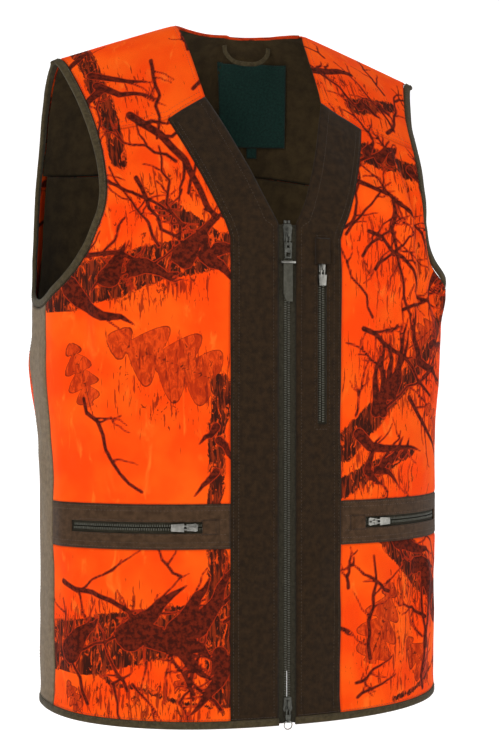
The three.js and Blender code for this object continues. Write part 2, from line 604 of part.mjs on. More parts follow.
// A pull hangs from a cross pin through the bail: two arms, then a plate.
function pull({ armLength, width, plateTop, plateLength, thick = PIN, holes = [] }) {
  const arm = (side) => box(PIN, thick, armLength + PIN, side * ARM_AT, 0, -armLength / 2);
  const pin = box(2 * ARM_AT + PIN, PIN, PIN);
  const body = new THREE.Shape([[-width / 2, -plateTop], [-width / 2 * 0.8, -plateTop - plateLength],
    [width / 2 * 0.8, -plateTop - plateLength], [width / 2, -plateTop]]
    .map(([x, y]) => new THREE.Vector2(x, y)));
  const plate = new THREE.ExtrudeGeometry(body, { depth: thick, bevelEnabled: false })
    .rotateX(Math.PI / 2).translate(0, thick / 2, 0);
  const whole = join(arm(-1), arm(1), pin, plate);
  return holes.reduce((g, [w, h, z]) => cut(g, box(w, 3 * thick, h, 0, 0, z)), whole);
}

const TOP_Z = ZIP_TOP - SLIDER_LENGTH / 2 - 0.2;
const pinAt = (z, bailLength) => z + pinDrop(bailLength);
const topSlider = add('top_slider', slider(SLIDER_LENGTH, SLIDER_HALF, BAIL_LENGTH, BAIL_HEIGHT),
  'dull', zip);
topSlider.position.z = TOP_Z;

const LINK_ARM = 8.4;
const LINK_PLATE = 16;
const LINK_WIDTH = 8.4;
const linkTop = LINK_ARM - PIN / 2;
const slotZ = -linkTop - LINK_PLATE + 4;
const link = add('slider_link', pull({ armLength: LINK_ARM, width: LINK_WIDTH, plateTop: linkTop,
  plateLength: LINK_PLATE, holes: [[2.6, 2.6, -linkTop - 4], [4.4, 4, slotZ]] }), 'dull', zip);
link.position.set(0, pinY, pinAt(TOP_Z, BAIL_LENGTH));

// The strap hangs in a wire clip below the link and turns about the clip's bar.
const STRAP_WIDTH = 10;
const STRAP_LENGTH = 42;
const STRAP_THICK = 2;
const CLIP_WIDTH = 15.5;
const STRAP_GAP = 1.3;            // lets the strap turn under the link
const strapShape = new THREE.Shape([[-5, 0], [-5, -STRAP_LENGTH + 8], [-2, -STRAP_LENGTH],
  [5, -STRAP_LENGTH], [5, 0]].map(([x, y]) => new THREE.Vector2(x * STRAP_WIDTH / 10, y)));
const strap = add('strap_puller', new THREE.ExtrudeGeometry(strapShape,
  { depth: STRAP_THICK, bevelEnabled: false }).rotateX(Math.PI / 2)
  .translate(0, STRAP_THICK / 2, 0), 'rubber', zip);
const strapZ = pinAt(TOP_Z, BAIL_LENGTH) - linkTop - LINK_PLATE - STRAP_GAP;
strap.position.set(0, pinY, strapZ);
const clipGap = 0.3;
const clip = add('strap_clip', cut(box(CLIP_WIDTH, STRAP_THICK + 2 * clipGap + 1.6, 2),
  box(STRAP_WIDTH + 2 * clipGap, STRAP_THICK + 2 * clipGap, 4)), 'metal', zip);
clip.position.set(0, pinY, strapZ - 2.4);

// The lower slider faces down: its wide end is at the bottom of the zip.
const BOTTOM_LENGTH = 14;
const BOTTOM_Z = TEETH_LOW + BOTTOM_LENGTH / 2 - 2;
const bottomSlider = add('bottom_slider', slider(BOTTOM_LENGTH, SLIDER_HALF, BAIL_LENGTH,
  BAIL_HEIGHT).rotateY(Math.PI), 'dull', zip);
bottomSlider.position.z = BOTTOM_Z;
const TAG_ARM = 8.4;
const TAG_LENGTH = 5;
const EYE_DROP = 1;               // the eye's hole below the end of the tag
const tagTop = TAG_ARM - PIN / 2;
const tagEye = -tagTop - TAG_LENGTH - EYE_DROP;
const tagZ = pinAt(BOTTOM_Z, BAIL_LENGTH);
const tagPlate = pull({ armLength: TAG_ARM, width: 6, plateTop: tagTop, plateLength: TAG_LENGTH });
const tag = add('bottom_pull', cut(join(tagPlate, box(2, 3, 3.2, 0, 0, tagEye)),
  box(4, 1.9, 1.9, 0, 0, tagEye)), 'dull', zip);
tag.position.set(0, pinY, tagZ);

// A small wire ring hangs face on in the tag's eye and turns about its top wire.
const RING_WIRE = 1.1;
const RING_R = 4.2;
const ring = add('pull_ring', new THREE.TorusGeometry(RING_R, RING_WIRE / 2, 6, 16)
  .rotateX(Math.PI / 2), 'metal', zip);
ring.position.set(0, pinY, tagZ + tagEye - RING_R);

// ---- short zips: a ring of tape, a ring of teeth, a slider, a pull and a garage -----------------
const SMALL_HALF = 4.2;
const SMALL_BAIL = 7.6;
const SMALL_ARM = 7;
const TAPE_MARGIN = 4.5;          // tape held behind the fabric all round
const frame = (w, h, thick, innerW, innerH, z) => cut(box(w, thick, h, 0, 0, z),
  box(innerW, 3 * thick, innerH, 0, 0, z));
const garage = (width, length, depth) => {
  const wall = 0.9;
  return cut(box(width, depth, length, 0, -depth / 2, 0),
    box(width - 2 * wall, depth, length, 0, -depth / 2 + wall, -wall));
};

const chestTilt = Math.atan2(section(angleAt(CHEST_X + 4), CHEST_HIGH)[1]
  - section(angleAt(CHEST_X - 4), CHEST_HIGH)[1], 8);
const chest = new THREE.Group();
const chestFace = section(angleAt(CHEST_X), CHEST_HIGH);
chest.position.set(chestFace[0], chestFace[1], 0);
chest.rotation.z = chestTilt;
vest.add(chest);
const chestZip = new THREE.Group();
chestZip.position.y = ZIP_INSET;
chest.add(chestZip);
const chestMid = (CHEST_LOW + CHEST_HIGH) / 2;
const chestSpan = CHEST_HIGH - CHEST_LOW;
const tapeHole = 2 * (TEETH_HALF + TAPE_GAP);
add('chest_zip_tape', frame(2 * (APERTURE_HALF + TAPE_MARGIN), chestSpan + 2 * TAPE_MARGIN,
  TAPE_THICK, tapeHole, chestSpan - 2, chestMid), 'tape', chestZip);
add('chest_zip_teeth', frame(2 * TEETH_HALF, chestSpan - 2 - 2 * TAPE_GAP, TEETH_THICK,
  2 * TEETH_SLIT, chestSpan - 8, chestMid), 'teeth', chestZip);
const CHEST_PIN_Z = 460;
const chestSliderZ = CHEST_PIN_Z - pinDrop(SMALL_BAIL);
const chestSlider = add('chest_slider', slider(SMALL_SLIDER, SMALL_HALF, SMALL_BAIL, BAIL_HEIGHT),
  'metal', chestZip);
chestSlider.position.z = chestSliderZ;
const CHEST_TAB = 11;
const chestPull = add('chest_pull', pull({ armLength: SMALL_ARM, width: 9, plateTop: SMALL_ARM - 0.6,
  plateLength: CHEST_TAB }), 'metal', chestZip);
chestPull.position.set(0, pinY, CHEST_PIN_Z);
const garageLow = CHEST_PIN_Z + 4;
const GARAGE_DEPTH = 5.2;
const chestGarage = add('chest_garage', garage(16, CHEST_HIGH - garageLow + 4, GARAGE_DEPTH),
  'dark', chest);
chestGarage.position.set(0, -0.4, (CHEST_HIGH + 4 + garageLow) / 2);

// Hand pocket zips lie on the arc. Angles are from straight ahead, about the arc's axis.
const arcAngle = (x) => Math.asin((x - ARC_CX) / ARC_R) / DEG;
const onArc = (side, turn, r, z) => new THREE.Vector3(side * (ARC_CX + r * Math.sin(turn * DEG)),
  ARC_CY - r * Math.cos(turn * DEG), z);
function arcFrame(side, turns, zs, inset, thick, hole) {
  const r = ARC_R - inset + thick / 2;
  const last = turns.length - 1;
  const spot = (i, j, radius) => onArc(side, turns[side > 0 ? i : last - i], radius, zs[j]);
  return closedGrid(last, zs.length - 1, (i, j) => spot(i, j, r), (i, j) => spot(i, j, r - thick),
    (i, j) => hole(side > 0 ? i : last - 1 - i, j, last));
}
const [turnIn, turnOut] = [arcAngle(POCKET_IN), arcAngle(POCKET_OUT)];
const evenly = (a, b, n) => Array.from({ length: n + 1 }, (_, k) => lerp(a, b, k / n));
const edgeTurn = (TAPE_MARGIN / ARC_R) / DEG;
const ends = (first, last, end, n) => [first, ...evenly(first + end, last - end, n), last];
const ringHole = (i, j, last) => j === 1 && i > 0 && i < last - 1;
const around = (half, edge) => [POCKET_Z - edge, POCKET_Z - half, POCKET_Z + half, POCKET_Z + edge];
const POCKET_TAB = 13;
const pocketPinTurn = arcAngle(100);
for (const [hand, side] of SIDES) {
  add(`${hand}_pocket_tape`, arcFrame(side, ends(turnIn - edgeTurn, turnOut + edgeTurn,
    edgeTurn + 0.3, 12), around(TEETH_HALF + TAPE_GAP, APERTURE_HALF + TAPE_MARGIN), ZIP_INSET,
  TAPE_THICK, ringHole), 'tape');
  add(`${hand}_pocket_teeth`, arcFrame(side, ends(turnIn + 0.5, turnOut - 0.5, 1, 12),
    around(TEETH_SLIT, TEETH_HALF), ZIP_INSET, TEETH_THICK, ringHole), 'teeth');
  // Local frames on the arc: -Y outward, +Z towards the centre front.
  const seat = (turn) => {
    const out = onArc(side, turn, 1, 0).sub(onArc(side, turn, 0, 0));
    const forward = new THREE.Vector3(-side * Math.cos(turn * DEG), -Math.sin(turn * DEG), 0);
    const back = out.clone().negate();
    const group = new THREE.Group();
    group.applyMatrix4(new THREE.Matrix4().makeBasis(back.clone().cross(forward), back, forward)
      .setPosition(onArc(side, turn, ARC_R - ZIP_INSET, POCKET_Z)));
    vest.add(group);
    return group;
  };
  const mid = pocketPinTurn + (pinDrop(SMALL_BAIL) / ARC_R) / DEG;
  add(`${hand}_pocket_slider`, slider(SMALL_SLIDER, SMALL_HALF, SMALL_BAIL, BAIL_HEIGHT), 'metal',
    seat(mid));
  const pocketPull = add(`${hand}_pocket_pull`, pull({ armLength: SMALL_ARM, width: 8.5,
    plateTop: SMALL_ARM - 0.6, plateLength: POCKET_TAB }), 'metal', seat(mid));
  pocketPull.position.set(0, pinY, pinDrop(SMALL_BAIL));
  const garageTurn = mid - ((SMALL_SLIDER / 2 + 1 + POCKET_GARAGE / 2) / ARC_R) / DEG;
  const cover = add(`${hand}_pocket_garage`, box(15, 1.2, POCKET_GARAGE), 'dark',
    seat(garageTurn));
  cover.position.y = -ZIP_INSET - 1.6;
}

// ---- pocket bags, between the shell and the lining -----------------------------------------------
const BAG_INSET = 5.4;
const BAG_THICK = 0.8;
for (const [hand, side] of SIDES) {
  add(`${hand}_pocket_bag`, panel({ side, left: constant(angleAt(66, 100)),
    right: constant(angleAt(POCKET_OUT - 2, 100)), low: constant(48), high: constant(POCKET_Z + 14),
    cols: 8, rows: 4, out: -BAG_INSET, thick: BAG_THICK }), 'bag');
}
add('chest_pocket_bag', panel({ left: (h) => angleAt(CHEST_X - 8, h),
  right: (h) => angleAt(CHEST_X + 78, h), low: constant(CHEST_LOW - 10),
  high: constant(CHEST_HIGH - 20), cols: 6, rows: 4, out: -BAG_INSET, thick: BAG_THICK }), 'bag');

// ---- hanger loop -----------------------------------------------------------------------------------
const loopZ = 721;
const loopEnd = LOOP_X + LOOP_HALF;
const anchor = at(angleAt(loopEnd, YOKE_BASE, true), heightAt(loopEnd, loopZ, true),
  -FACING_INSET - LINING - 2.4).setX(LOOP_X);
const loopPath = new THREE.CatmullRomCurve3([[-1, 0], [-0.95, -0.42], [-0.7, -0.82], [-0.4, -1],
  [0.4, -1], [0.7, -0.82], [0.95, -0.42], [1, 0]].map(([x, z]) => new THREE.Vector3(
  x * LOOP_HALF, 0, z * LOOP_DROP)), false, 'centripetal');
const loopPoints = loopPath.getPoints(14);
const loop = add('hanger_loop', sweep(loopPoints, loopPoints.map((_, i) => {
  const t = loopPath.getTangent(i / 14);
  return new THREE.Vector3(-t.z, 0, t.x);
}), loopPoints.map(() => new THREE.Vector3(0, 1, 0)), LOOP_WIDTH, LOOP_THICK), 'trim');
loop.position.set(anchor.x, anchor.y, anchor.z);

export default vest;
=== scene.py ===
import math
import bpy
import bmesh
import numpy as np
from mathutils import Matrix, Vector


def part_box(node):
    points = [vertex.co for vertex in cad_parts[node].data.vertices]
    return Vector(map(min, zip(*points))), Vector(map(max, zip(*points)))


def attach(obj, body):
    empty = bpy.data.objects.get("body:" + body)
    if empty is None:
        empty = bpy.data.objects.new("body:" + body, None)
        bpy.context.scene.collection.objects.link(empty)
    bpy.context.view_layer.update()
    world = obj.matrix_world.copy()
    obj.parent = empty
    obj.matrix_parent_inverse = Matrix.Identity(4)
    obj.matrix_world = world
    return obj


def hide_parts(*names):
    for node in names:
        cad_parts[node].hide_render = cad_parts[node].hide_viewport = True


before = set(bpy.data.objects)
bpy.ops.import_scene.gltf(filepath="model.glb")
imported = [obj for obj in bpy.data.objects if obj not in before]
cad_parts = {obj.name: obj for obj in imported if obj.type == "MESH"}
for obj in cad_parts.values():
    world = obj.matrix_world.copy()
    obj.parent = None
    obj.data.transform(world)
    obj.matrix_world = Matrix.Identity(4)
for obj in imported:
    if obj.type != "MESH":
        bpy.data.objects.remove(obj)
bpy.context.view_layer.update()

# ---- printed yokes and fronts --------------------------------------------------------
# Polyester printed with twigs, bark and leaves over blaze orange. Each panel is cut to the
# seam lines of the body's form and sewn edge to edge, so the seams show as shallow valleys.
# Angles are degrees from the front centre; heights and lengths are mm, from the hem up.
HANDS = (("right", -1), ("left", 1))
NECK_Z = 726.5
RIDGE = 768.0
BASE = 505.0
RISE = RIDGE - BASE
HEM_HALF_WIDTH = 217
CHEST_GAIN = 9
FRONT_DEPTH, BACK_DEPTH = 137.0, 148.0
SQUARENESS = 2.4
NECK_X, SHOULDER_X = 74.4, 209.0
SHOULDER_DROP, RIDGE_ROUND = 48, 40
RIDGE_Y = 4
POCKET_Z = 201
ARC_X, ARC_Y, ARC_RADIUS = 60.9, 43.8, 176.2
FRONT_IN, FRONT_UP = 0.12, 0.28
BACK_IN, BACK_UP = 0.35, 0.45
FRONT_SEAM, BACK_SEAM = 82.0, 104.0
PANEL = 1.4
NO_MARK = -30.0


def smooth(v):
    t = np.clip(v, 0, 1)
    return t * t * (3 - 2 * t)


def mix(a, b, t):
    return a + (b - a) * t


def half_width(h):
    return HEM_HALF_WIDTH + CHEST_GAIN * smooth((h - 240) / 190)


def ridge_z(x):
    """Height of the shoulder ridge at x, falling from the neck to the shoulder's tip."""
    near, far = math.hypot(NECK_X, RIDGE_ROUND), math.hypot(SHOULDER_X, RIDGE_ROUND)
    return NECK_Z - SHOULDER_DROP / (far - near) * (np.hypot(x, RIDGE_ROUND) - near)


def bezier(a, b, c, d, t):
    u = 1 - t
    return u ** 3 * a + 3 * u * u * t * b + 3 * u * t * t * c + t ** 3 * d


def surface(angle, h):
    """Points in mm above the hem, for arrays of angles and heights."""
    angle, h = np.broadcast_arrays(np.asarray(angle, float), np.asarray(h, float))
    angle = np.where(angle > 180, angle - 360, angle)
    over = h > RIDGE
    angle = np.where(over, np.where(angle < 0, -180, 180) - angle, angle)
    h = np.where(over, 2 * RIDGE - h, h)
    s, c = np.sin(np.radians(angle)), np.cos(np.radians(angle))
    a = half_width(np.minimum(h, BASE))
    x = a * np.sign(s) * np.abs(s) ** (2 / SQUARENESS)
    y = np.where(c > 0, -FRONT_DEPTH, BACK_DEPTH) * np.abs(c) ** (2 / SQUARENESS)
    # The hand pocket bands lie on an arc, with a soft change to it all round.
    zone = smooth(1 - (np.abs(h - POCKET_Z) - 16) / 50) * smooth((np.abs(x) - ARC_X) / 12)
    zone = zone * smooth((215 - np.abs(x)) / 7) * (c > 0)
    dx, dy = np.abs(x) - ARC_X, y - ARC_Y
    k = mix(1, ARC_RADIUS / np.maximum(np.hypot(dx, dy), 1e-6), zone)
    x = np.where(zone > 0, np.sign(x) * (ARC_X + dx * k), x)
    y = np.where(zone > 0, ARC_Y + dy * k, y)
    # Above the base both halves lean in to the shoulder ridge.
    t = np.clip((h - BASE) / RISE, 0, 1)
    front = np.abs(angle) < 90
    out = np.where(front, bezier(1, 1, FRONT_IN, 0, t), bezier(1, 1, BACK_IN, 0, t))
    up = np.where(front, bezier(0, FRONT_UP, 1, 1, t), bezier(0, BACK_UP, 1, 1, t))
    z = np.where(h <= BASE, h, BASE + (ridge_z(x) - BASE) * up)
    y = np.where(h <= BASE, y, RIDGE_Y + (y - RIDGE_Y) * out)
    return np.stack([x, y, z], -1)


def normal(angle, h):
    du = surface(angle + 0.1, h) - surface(angle - 0.1, h)
    dh = surface(angle, h + 0.3) - surface(angle, h - 0.3)
    n = np.cross(du, dh)
    return n / np.maximum(np.linalg.norm(n, axis=-1, keepdims=True), 1e-9)


def angle_at(x, h=BASE, back=False):
    ratio = np.minimum(1, np.abs(x) / half_width(np.minimum(h, BASE)))
    a = np.degrees(np.arcsin(ratio ** (SQUARENESS / 2)))
    return 180 - np.sign(x) * a if back else np.sign(x) * a


def height_at(x, z, back=False):
    """The height along the cloth at which width x reaches z, found by halving."""
    low, high = 0.0, 1.0
    want = (z - BASE) / (float(ridge_z(x)) - BASE)
    for _ in range(40):
        mid = (low + high) / 2
        low, high = (mid, high) if bezier(0, BACK_UP if back else FRONT_UP, 1, 1, mid) < want else (low, mid)
    return BASE + RISE * low if z > BASE else z


# Seam lines, for the wearer's left; the right is their mirror.
V_X, V_POINT = 65.0, height_at(65, 640)
YOKE_X, YOKE_MID = 108.0, height_at(108, 613)
YOKE_ARM_ANGLE, YOKE_ARM = 51.6, height_at(184, 595)
TIP = float(angle_at(SHOULDER_X))
BACK_YOKE = height_at(0, 570, True)
BACK_NECK = height_at(0, 728, True)
ZIP_GAP = 9.5
ZIP_TOP = 504
PLACKET_WIDTH = 60
PLACKET_TOP = 490
BAND_LOW, BAND_HIGH = 179, 224


def hem(angle):
    return 7 * np.sin(np.radians(angle)) ** 2


def hem_top(angle):
    return hem(angle) + 7.2


def constant(value):
    return lambda angle: np.full_like(np.asarray(angle, float), value)


def front_edge(h):
    """The zip's edge, the V and the neck's edge, from the hem to the shoulder."""
    v = angle_at(ZIP_GAP + (V_X - ZIP_GAP) * np.clip((h - ZIP_TOP) / (V_POINT - ZIP_TOP), 0, 1), h)
    n = angle_at(V_X + (NECK_X - V_X) * np.clip((h - V_POINT) / (RIDGE - V_POINT), 0, 1), h)
    return np.where(h < V_POINT, v, n)


def placket_seam(h):
    wider = np.maximum(0, (h - PLACKET_TOP) / (YOKE_MID - PLACKET_TOP))
    return angle_at(PLACKET_WIDTH + (YOKE_X - PLACKET_WIDTH) * wider, h)


def yoke_seam(angle):
    corners = [float(angle_at(V_X)), float(angle_at(YOKE_X)), YOKE_ARM_ANGLE]
    return np.interp(angle, corners, [V_POINT, YOKE_MID, YOKE_ARM])


def spline(points, n):
    """A centripetal Catmull-Rom curve through the points, as n + 1 samples."""
    p = np.array(points, float)
    p = np.vstack([2 * p[0] - p[1], p, 2 * p[-1] - p[-2]])
    spots = []
    for t in np.linspace(0, len(points) - 1, n + 1):
        i = min(int(t), len(points) - 2)
        p0, p1, p2, p3 = p[i:i + 4]
        d = [max(np.linalg.norm(b - a) ** 0.5, 1e-6) for a, b in ((p0, p1), (p1, p2), (p2, p3))]
        m1 = (p1 - p0) / d[0] - (p2 - p0) / (d[0] + d[1]) + (p2 - p1) / d[1]
        m2 = (p2 - p1) / d[1] - (p3 - p1) / (d[1] + d[2]) + (p3 - p2) / d[2]
        m1, m2, u = m1 * d[1], m2 * d[1], t - i
        spots.append((2 * u ** 3 - 3 * u ** 2 + 1) * p1 + (u ** 3 - 2 * u ** 2 + u) * m1
                     + (3 * u ** 2 - 2 * u ** 3) * p2 + (u ** 3 - u ** 2) * m2)
    return np.array(spots)


# The armhole's edge on the form: cloth mm round the body and heights, from the front tip.
ARM_SCALE = 2.5
ARM = spline([[TIP * ARM_SCALE, RIDGE], [129, YOKE_ARM], [127.5, 526], [149.25, 476], [183.25, 445],
              [225, 430], [257.5, 446], [275, 484], [283.75, 560], [(180 - TIP) * ARM_SCALE, RIDGE]], 176)
def arm_line(inset):
    """The armhole edge moved into the fabric by some mm, as arrays of angles and heights."""
    angle, h = ARM[:, 0] / ARM_SCALE, ARM[:, 1]
    du = (surface(angle + 0.1, h) - surface(angle - 0.1, h)) * 5
    dh = (surface(angle, h + 0.2) - surface(angle, h - 0.2)) * 2.5
    ta, th = np.gradient(angle), np.gradient(h)
    along = du * ta[:, None] + dh * th[:, None]
    away = np.cross(along, normal(angle, h))
    away *= inset / np.linalg.norm(away, axis=1, keepdims=True)
    uu, uh, hh = (du * du).sum(1), (du * dh).sum(1), (dh * dh).sum(1)
    au, ah = (away * du).sum(1), (away * dh).sum(1)
    det = uu * hh - uh * uh
    height = np.minimum(RIDGE, h + (ah * uu - au * uh) / det)
    height[[0, -1]] = RIDGE
    return angle + (au * hh - ah * uh) / det, height


ARM_A, ARM_H = arm_line(8.6)
LOWEST = int(np.argmin(ARM_H))
FRONT_ARM = (ARM_H[LOWEST::-1], ARM_A[LOWEST::-1])
BACK_ARM = (ARM_H[LOWEST:], ARM_A[LOWEST:])


def arm_front(h):
    return np.interp(h, *FRONT_ARM)


def arm_back(h):
    return np.interp(h, *BACK_ARM)


def arm_under(angle):
    order = np.argsort(ARM_A)
    near = order[np.abs(ARM_A[order] - 90) < 26]
    return np.interp(angle, ARM_A[near], ARM_H[near])


SIDE_CORNER = float(arm_under(FRONT_SEAM))
BACK_CORNER = float(arm_under(BACK_SEAM))


def front_side(h):
    return np.where(h <= SIDE_CORNER, FRONT_SEAM, np.minimum(FRONT_SEAM, arm_front(h)))


def back_side(h):
    return np.where(h <= BACK_CORNER, BACK_SEAM, np.maximum(BACK_SEAM, arm_back(h)))


# Cloth lengths round the body, from the front centre, measured at the waist.
TURN = np.linspace(0, 180, 1801)
RUN = surface(TURN, np.full(1801, 300.0))
ROUND = np.concatenate([[0], np.cumsum(np.hypot(*np.diff(RUN[:, :2], axis=0).T))])


def cloth(angle):
    a = np.where(angle > 180, angle - 360, angle)
    return np.sign(a) * np.interp(np.abs(a), TURN, ROUND)


def ripple(x, y, seed):
    """Soft noise from -1 to 1 with one wave per unit of x and y."""
    rng = np.random.default_rng(seed)
    table = rng.uniform(-1, 1, (64, 64))
    xi, yi = np.floor(x).astype(int), np.floor(y).astype(int)
    u, v = smooth(x - xi), smooth(y - yi)
    a, b = table[xi % 64, yi % 64], table[(xi + 1) % 64, yi % 64]
    c, d = table[xi % 64, (yi + 1) % 64], table[(xi + 1) % 64, (yi + 1) % 64]
    return mix(mix(a, b, u), mix(c, d, u), v)


def crease(s, h, start, end, width, depth, round_=1.0):
    """A straight fold from start to end on the cloth: a ridge with a valley beside it."""
    (s0, h0), (s1, h1) = start, end
    length = math.hypot(s1 - s0, h1 - h0)
    ds, dh = (s1 - s0) / length, (h1 - h0) / length
    along = ((s - s0) * ds + (h - h0) * dh) / length
    off = ((s - s0) * dh - (h - h0) * ds) / width
    fade = smooth(along * 4) * smooth((1 - along) * 4) * ((along > 0) & (along < 1))
    return depth * fade * (np.exp(-off * off) - round_ * np.exp(-(off - 1.6) ** 2))


# Each fold: start and end on the cloth, its width and its depth.
FOLDS = [((-146, 628), (-178, 372), 11, -4.2), ((-178, 470), (-196, 300), 12, 2.6),
         ((146, 628), (176, 392), 11, -3.2), ((205, 560), (232, 400), 14, 4.0),
         ((-70, 168), (-120, 40), 13, 1.5), ((-196, 168), (-176, 20), 13, 2.0),
         ((96, 170), (120, 24), 14, 1.8), ((190, 170), (172, 20), 12, 2.2),
         ((-92, 560), (-150, 520), 12, 1.6), ((84, 560), (150, 506), 12, 1.8),
         ((-90, 330), (-180, 296), 13, 1.4), ((80, 300), (190, 262), 14, 1.5),
         ((-100, 470), (-190, 430), 16, 1.4), ((90, 440), (210, 470), 15, 1.5),
         ((330, 400), (410, 250), 20, 3.4), ((-330, 400), (-410, 250), 20, 3.4),
         ((560, 500), (470, 330), 24, 2.6), ((-560, 500), (-470, 330), 24, 2.6),
         ((420, 220), (440, 20), 22, 3.2), ((-420, 220), (-440, 20), 22, 3.2),
         ((540, 200), (530, 16), 22, 2.4), ((-540, 200), (-530, 16), 22, 2.4)]
FOLD_STRENGTH = 1.7
CHEST_ZIP_X, CHEST_ZIP_H = 38, 395


def drape(angle, h):
    """How far the cloth stands off its form, in mm, the same for every layer."""
    s = cloth(angle)
    d = 2.3 * ripple(s / 70 + 20, h / 110 + 20, 3) + 1.3 * ripple(s / 31 + 40, h / 50 + 20, 5)
    d = d + 0.45 * ripple(s / 13 + 60, h / 19 + 60, 8)
    for start, end, width, depth in FOLDS:
        d = d + FOLD_STRENGTH * crease(s, h, start, end, width, depth)
    # Sideways puckers run down the plackets.
    pucker = np.sin(h / 21 + 2 * ripple(s / 60 + 9, h / 90 + 9, 4))
    d = d + 0.7 * pucker * smooth(1 - np.abs(np.abs(s) - 44) / 26)
    # The cloth lies flat at the zips, the hem and the ridge.
    x = surface(angle, h)[..., 0]
    front = np.cos(np.radians(angle)) > 0
    still = smooth((np.abs(s) - 13) / 22)
    beside = np.maximum(np.abs(x - CHEST_ZIP_X) - 9, np.abs(h - CHEST_ZIP_H) - 98)
    chest = np.where(x > 0, smooth(beside / 14) * front + ~front, 1)
    pocket = smooth((np.abs(h - POCKET_Z) - 13) / 26) * front + ~front
    pocket = np.where(np.abs(x) > 215, 1, pocket)
    edge = smooth((h - 2) / 26) * smooth((RIDGE - h) / 60 + 0.12)
    return d * still * chest * pocket * edge


def cloth_points(angle, h, out):
    """Points in metres in the part's frame, some mm outward from the hanging cloth."""
    p = surface(angle, h) + normal(angle, h) * (np.asarray(out) + drape(angle, h))[..., None]
    p[..., 2] -= NECK_Z
    return p / 1000


def spots(left, right, low, high, nu, nv, side=1):
    """Grid of angles and heights filling the outline of a panel."""
    u, v = np.meshgrid(np.linspace(0, 1, nu + 1), np.linspace(0, 1, nv + 1), indexing="ij")
    angle = mix(30.0, 60.0, u)
    h = v * 100
    for _ in range(16):
        h = mix(low(angle), high(angle), v)
        angle = mix(left(h), right(h), u)
    return side * angle, h


def mesh_object(name, points, faces, material):
    mesh = bpy.data.meshes.new(name)
    mesh.from_pydata([tuple(p) for p in np.asarray(points).reshape(-1, 3).tolist()], [], faces)
    mesh.polygons.foreach_set("use_smooth", [True] * len(mesh.polygons))
    obj = bpy.data.objects.new(name, mesh)
    bpy.context.scene.collection.objects.link(obj)
    mesh.materials.append(material)
    return obj


def layer(obj, name, values):
    spots_layer = obj.data.attributes.new(name, "FLOAT", "POINT")
    spots_layer.data.foreach_set("value", np.asarray(values, np.float32))


def map_cloth(obj, s, h):
    """Gives each corner its place on the cloth, in metres, for the weave and the print."""
    uv = obj.data.uv_layers.new(name="cloth")
    index = np.zeros(len(obj.data.loops), np.int32)
    obj.data.loops.foreach_get("vertex_index", index)
    flat = np.stack([s, h], -1)[index] / 1000
    uv.data.foreach_set("uv", flat.astype(np.float32).ravel())


ROLL_REACH = 3.0


def skin(name, angle, h, out, thick, material, roll=0.8, side=1, hole=None, extra=None):
    """A panel from its grid. roll is how far its rim turns in; hole is a mask of cells left out."""
    nu, nv = angle.shape[0] - 1, angle.shape[1] - 1
    top = cloth_points(angle, h, 0) * 1000
    width = np.linalg.norm(np.diff(top, axis=0), axis=2).mean() or 1
    height = np.linalg.norm(np.diff(top, axis=1), axis=2).mean() or 1
    i, j = np.meshgrid(np.arange(nu + 1), np.arange(nv + 1), indexing="ij")
    rim = np.minimum(np.minimum(i, nu - i) * width, np.minimum(j, nv - j) * height)
    sink = roll * (1 - smooth(rim / ROLL_REACH))
    lift = 0 if extra is None else extra
    outer = cloth_points(angle, h, out - sink + lift)
    inner = cloth_points(angle, h, out - thick + lift)
    n = (nu + 1) * (nv + 1)
    solid = np.ones((nu, nv), bool) if hole is None else ~hole
    ii, jj = np.nonzero(solid)

    def at(i, j):
        return i * (nv + 1) + j

    quads = np.stack([at(ii, jj), at(ii + 1, jj), at(ii + 1, jj + 1), at(ii, jj + 1)], 1)
    walls = []
    pad = np.zeros((nu + 2, nv + 2), bool)
    pad[1:-1, 1:-1] = solid
    sides = ((0, -1, (0, 0), (1, 0)), (1, 0, (1, 0), (1, 1)), (0, 1, (1, 1), (0, 1)), (-1, 0, (0, 1), (0, 0)))
    for di, dj, a, b in sides:
        wi, wj = np.nonzero(solid & ~pad[1 + di:nu + 1 + di, 1 + dj:nv + 1 + dj])
        p, q = at(wi + a[0], wj + a[1]), at(wi + b[0], wj + b[1])
        walls.append(np.stack([p + n, q + n, q, p], 1))
    faces = np.concatenate([quads, quads[:, ::-1] + n] + walls)
    if side < 0:
        faces = faces[:, ::-1]
    points = np.concatenate([outer.reshape(-1, 3), inner.reshape(-1, 3)])
    obj = mesh_object(name, points, faces.tolist(), material)
    map_cloth(obj, np.tile(cloth(angle).ravel(), 2), np.tile(h.ravel(), 2))
    layer(obj, "rim", np.tile(rim.ravel(), 2))
    return obj


def cut_of(angle, h):
    """Width, length and area of the cloth before sewing, in metres, from a panel's own grid."""
    p = cloth_points(angle, h, 0)
    cell = np.linalg.norm(np.cross(p[1:, :-1] - p[:-1, :-1], p[:-1, 1:] - p[:-1, :-1]), axis=2)
    other = np.linalg.norm(np.cross(p[:-1, 1:] - p[1:, 1:], p[1:, :-1] - p[1:, 1:]), axis=2)
    area = float((cell + other).sum() / 2)
    width = float(np.linalg.norm(np.diff(p, axis=0), axis=2).sum(0).max())
    length = float(np.linalg.norm(np.diff(p, axis=1), axis=2).sum(1).max())
    return (round(width, 3), round(length, 3)), min(area, 0.999 * width * length)


LEAST_FILL, MOST_FILL = 0.31, 0.999


def declare(obj, cut, replaces=(), body="root"):
    """Attaches a cloth piece to its body and hides the CAD node it stands for; its flat size and area are
    worked out but not kept.
    """
    flat, area = cut
    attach(obj, body)
    if replaces:
        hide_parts(*replaces)
    area = min(max(area, LEAST_FILL * flat[0] * flat[1]), MOST_FILL * flat[0] * flat[1])


def srgb(*values):
    shares = [v / 255 for v in values]
    return tuple(v / 12.92 if v <= 0.04045 else ((v + 0.055) / 1.055) ** 2.4 for v in shares) + (1.0,)


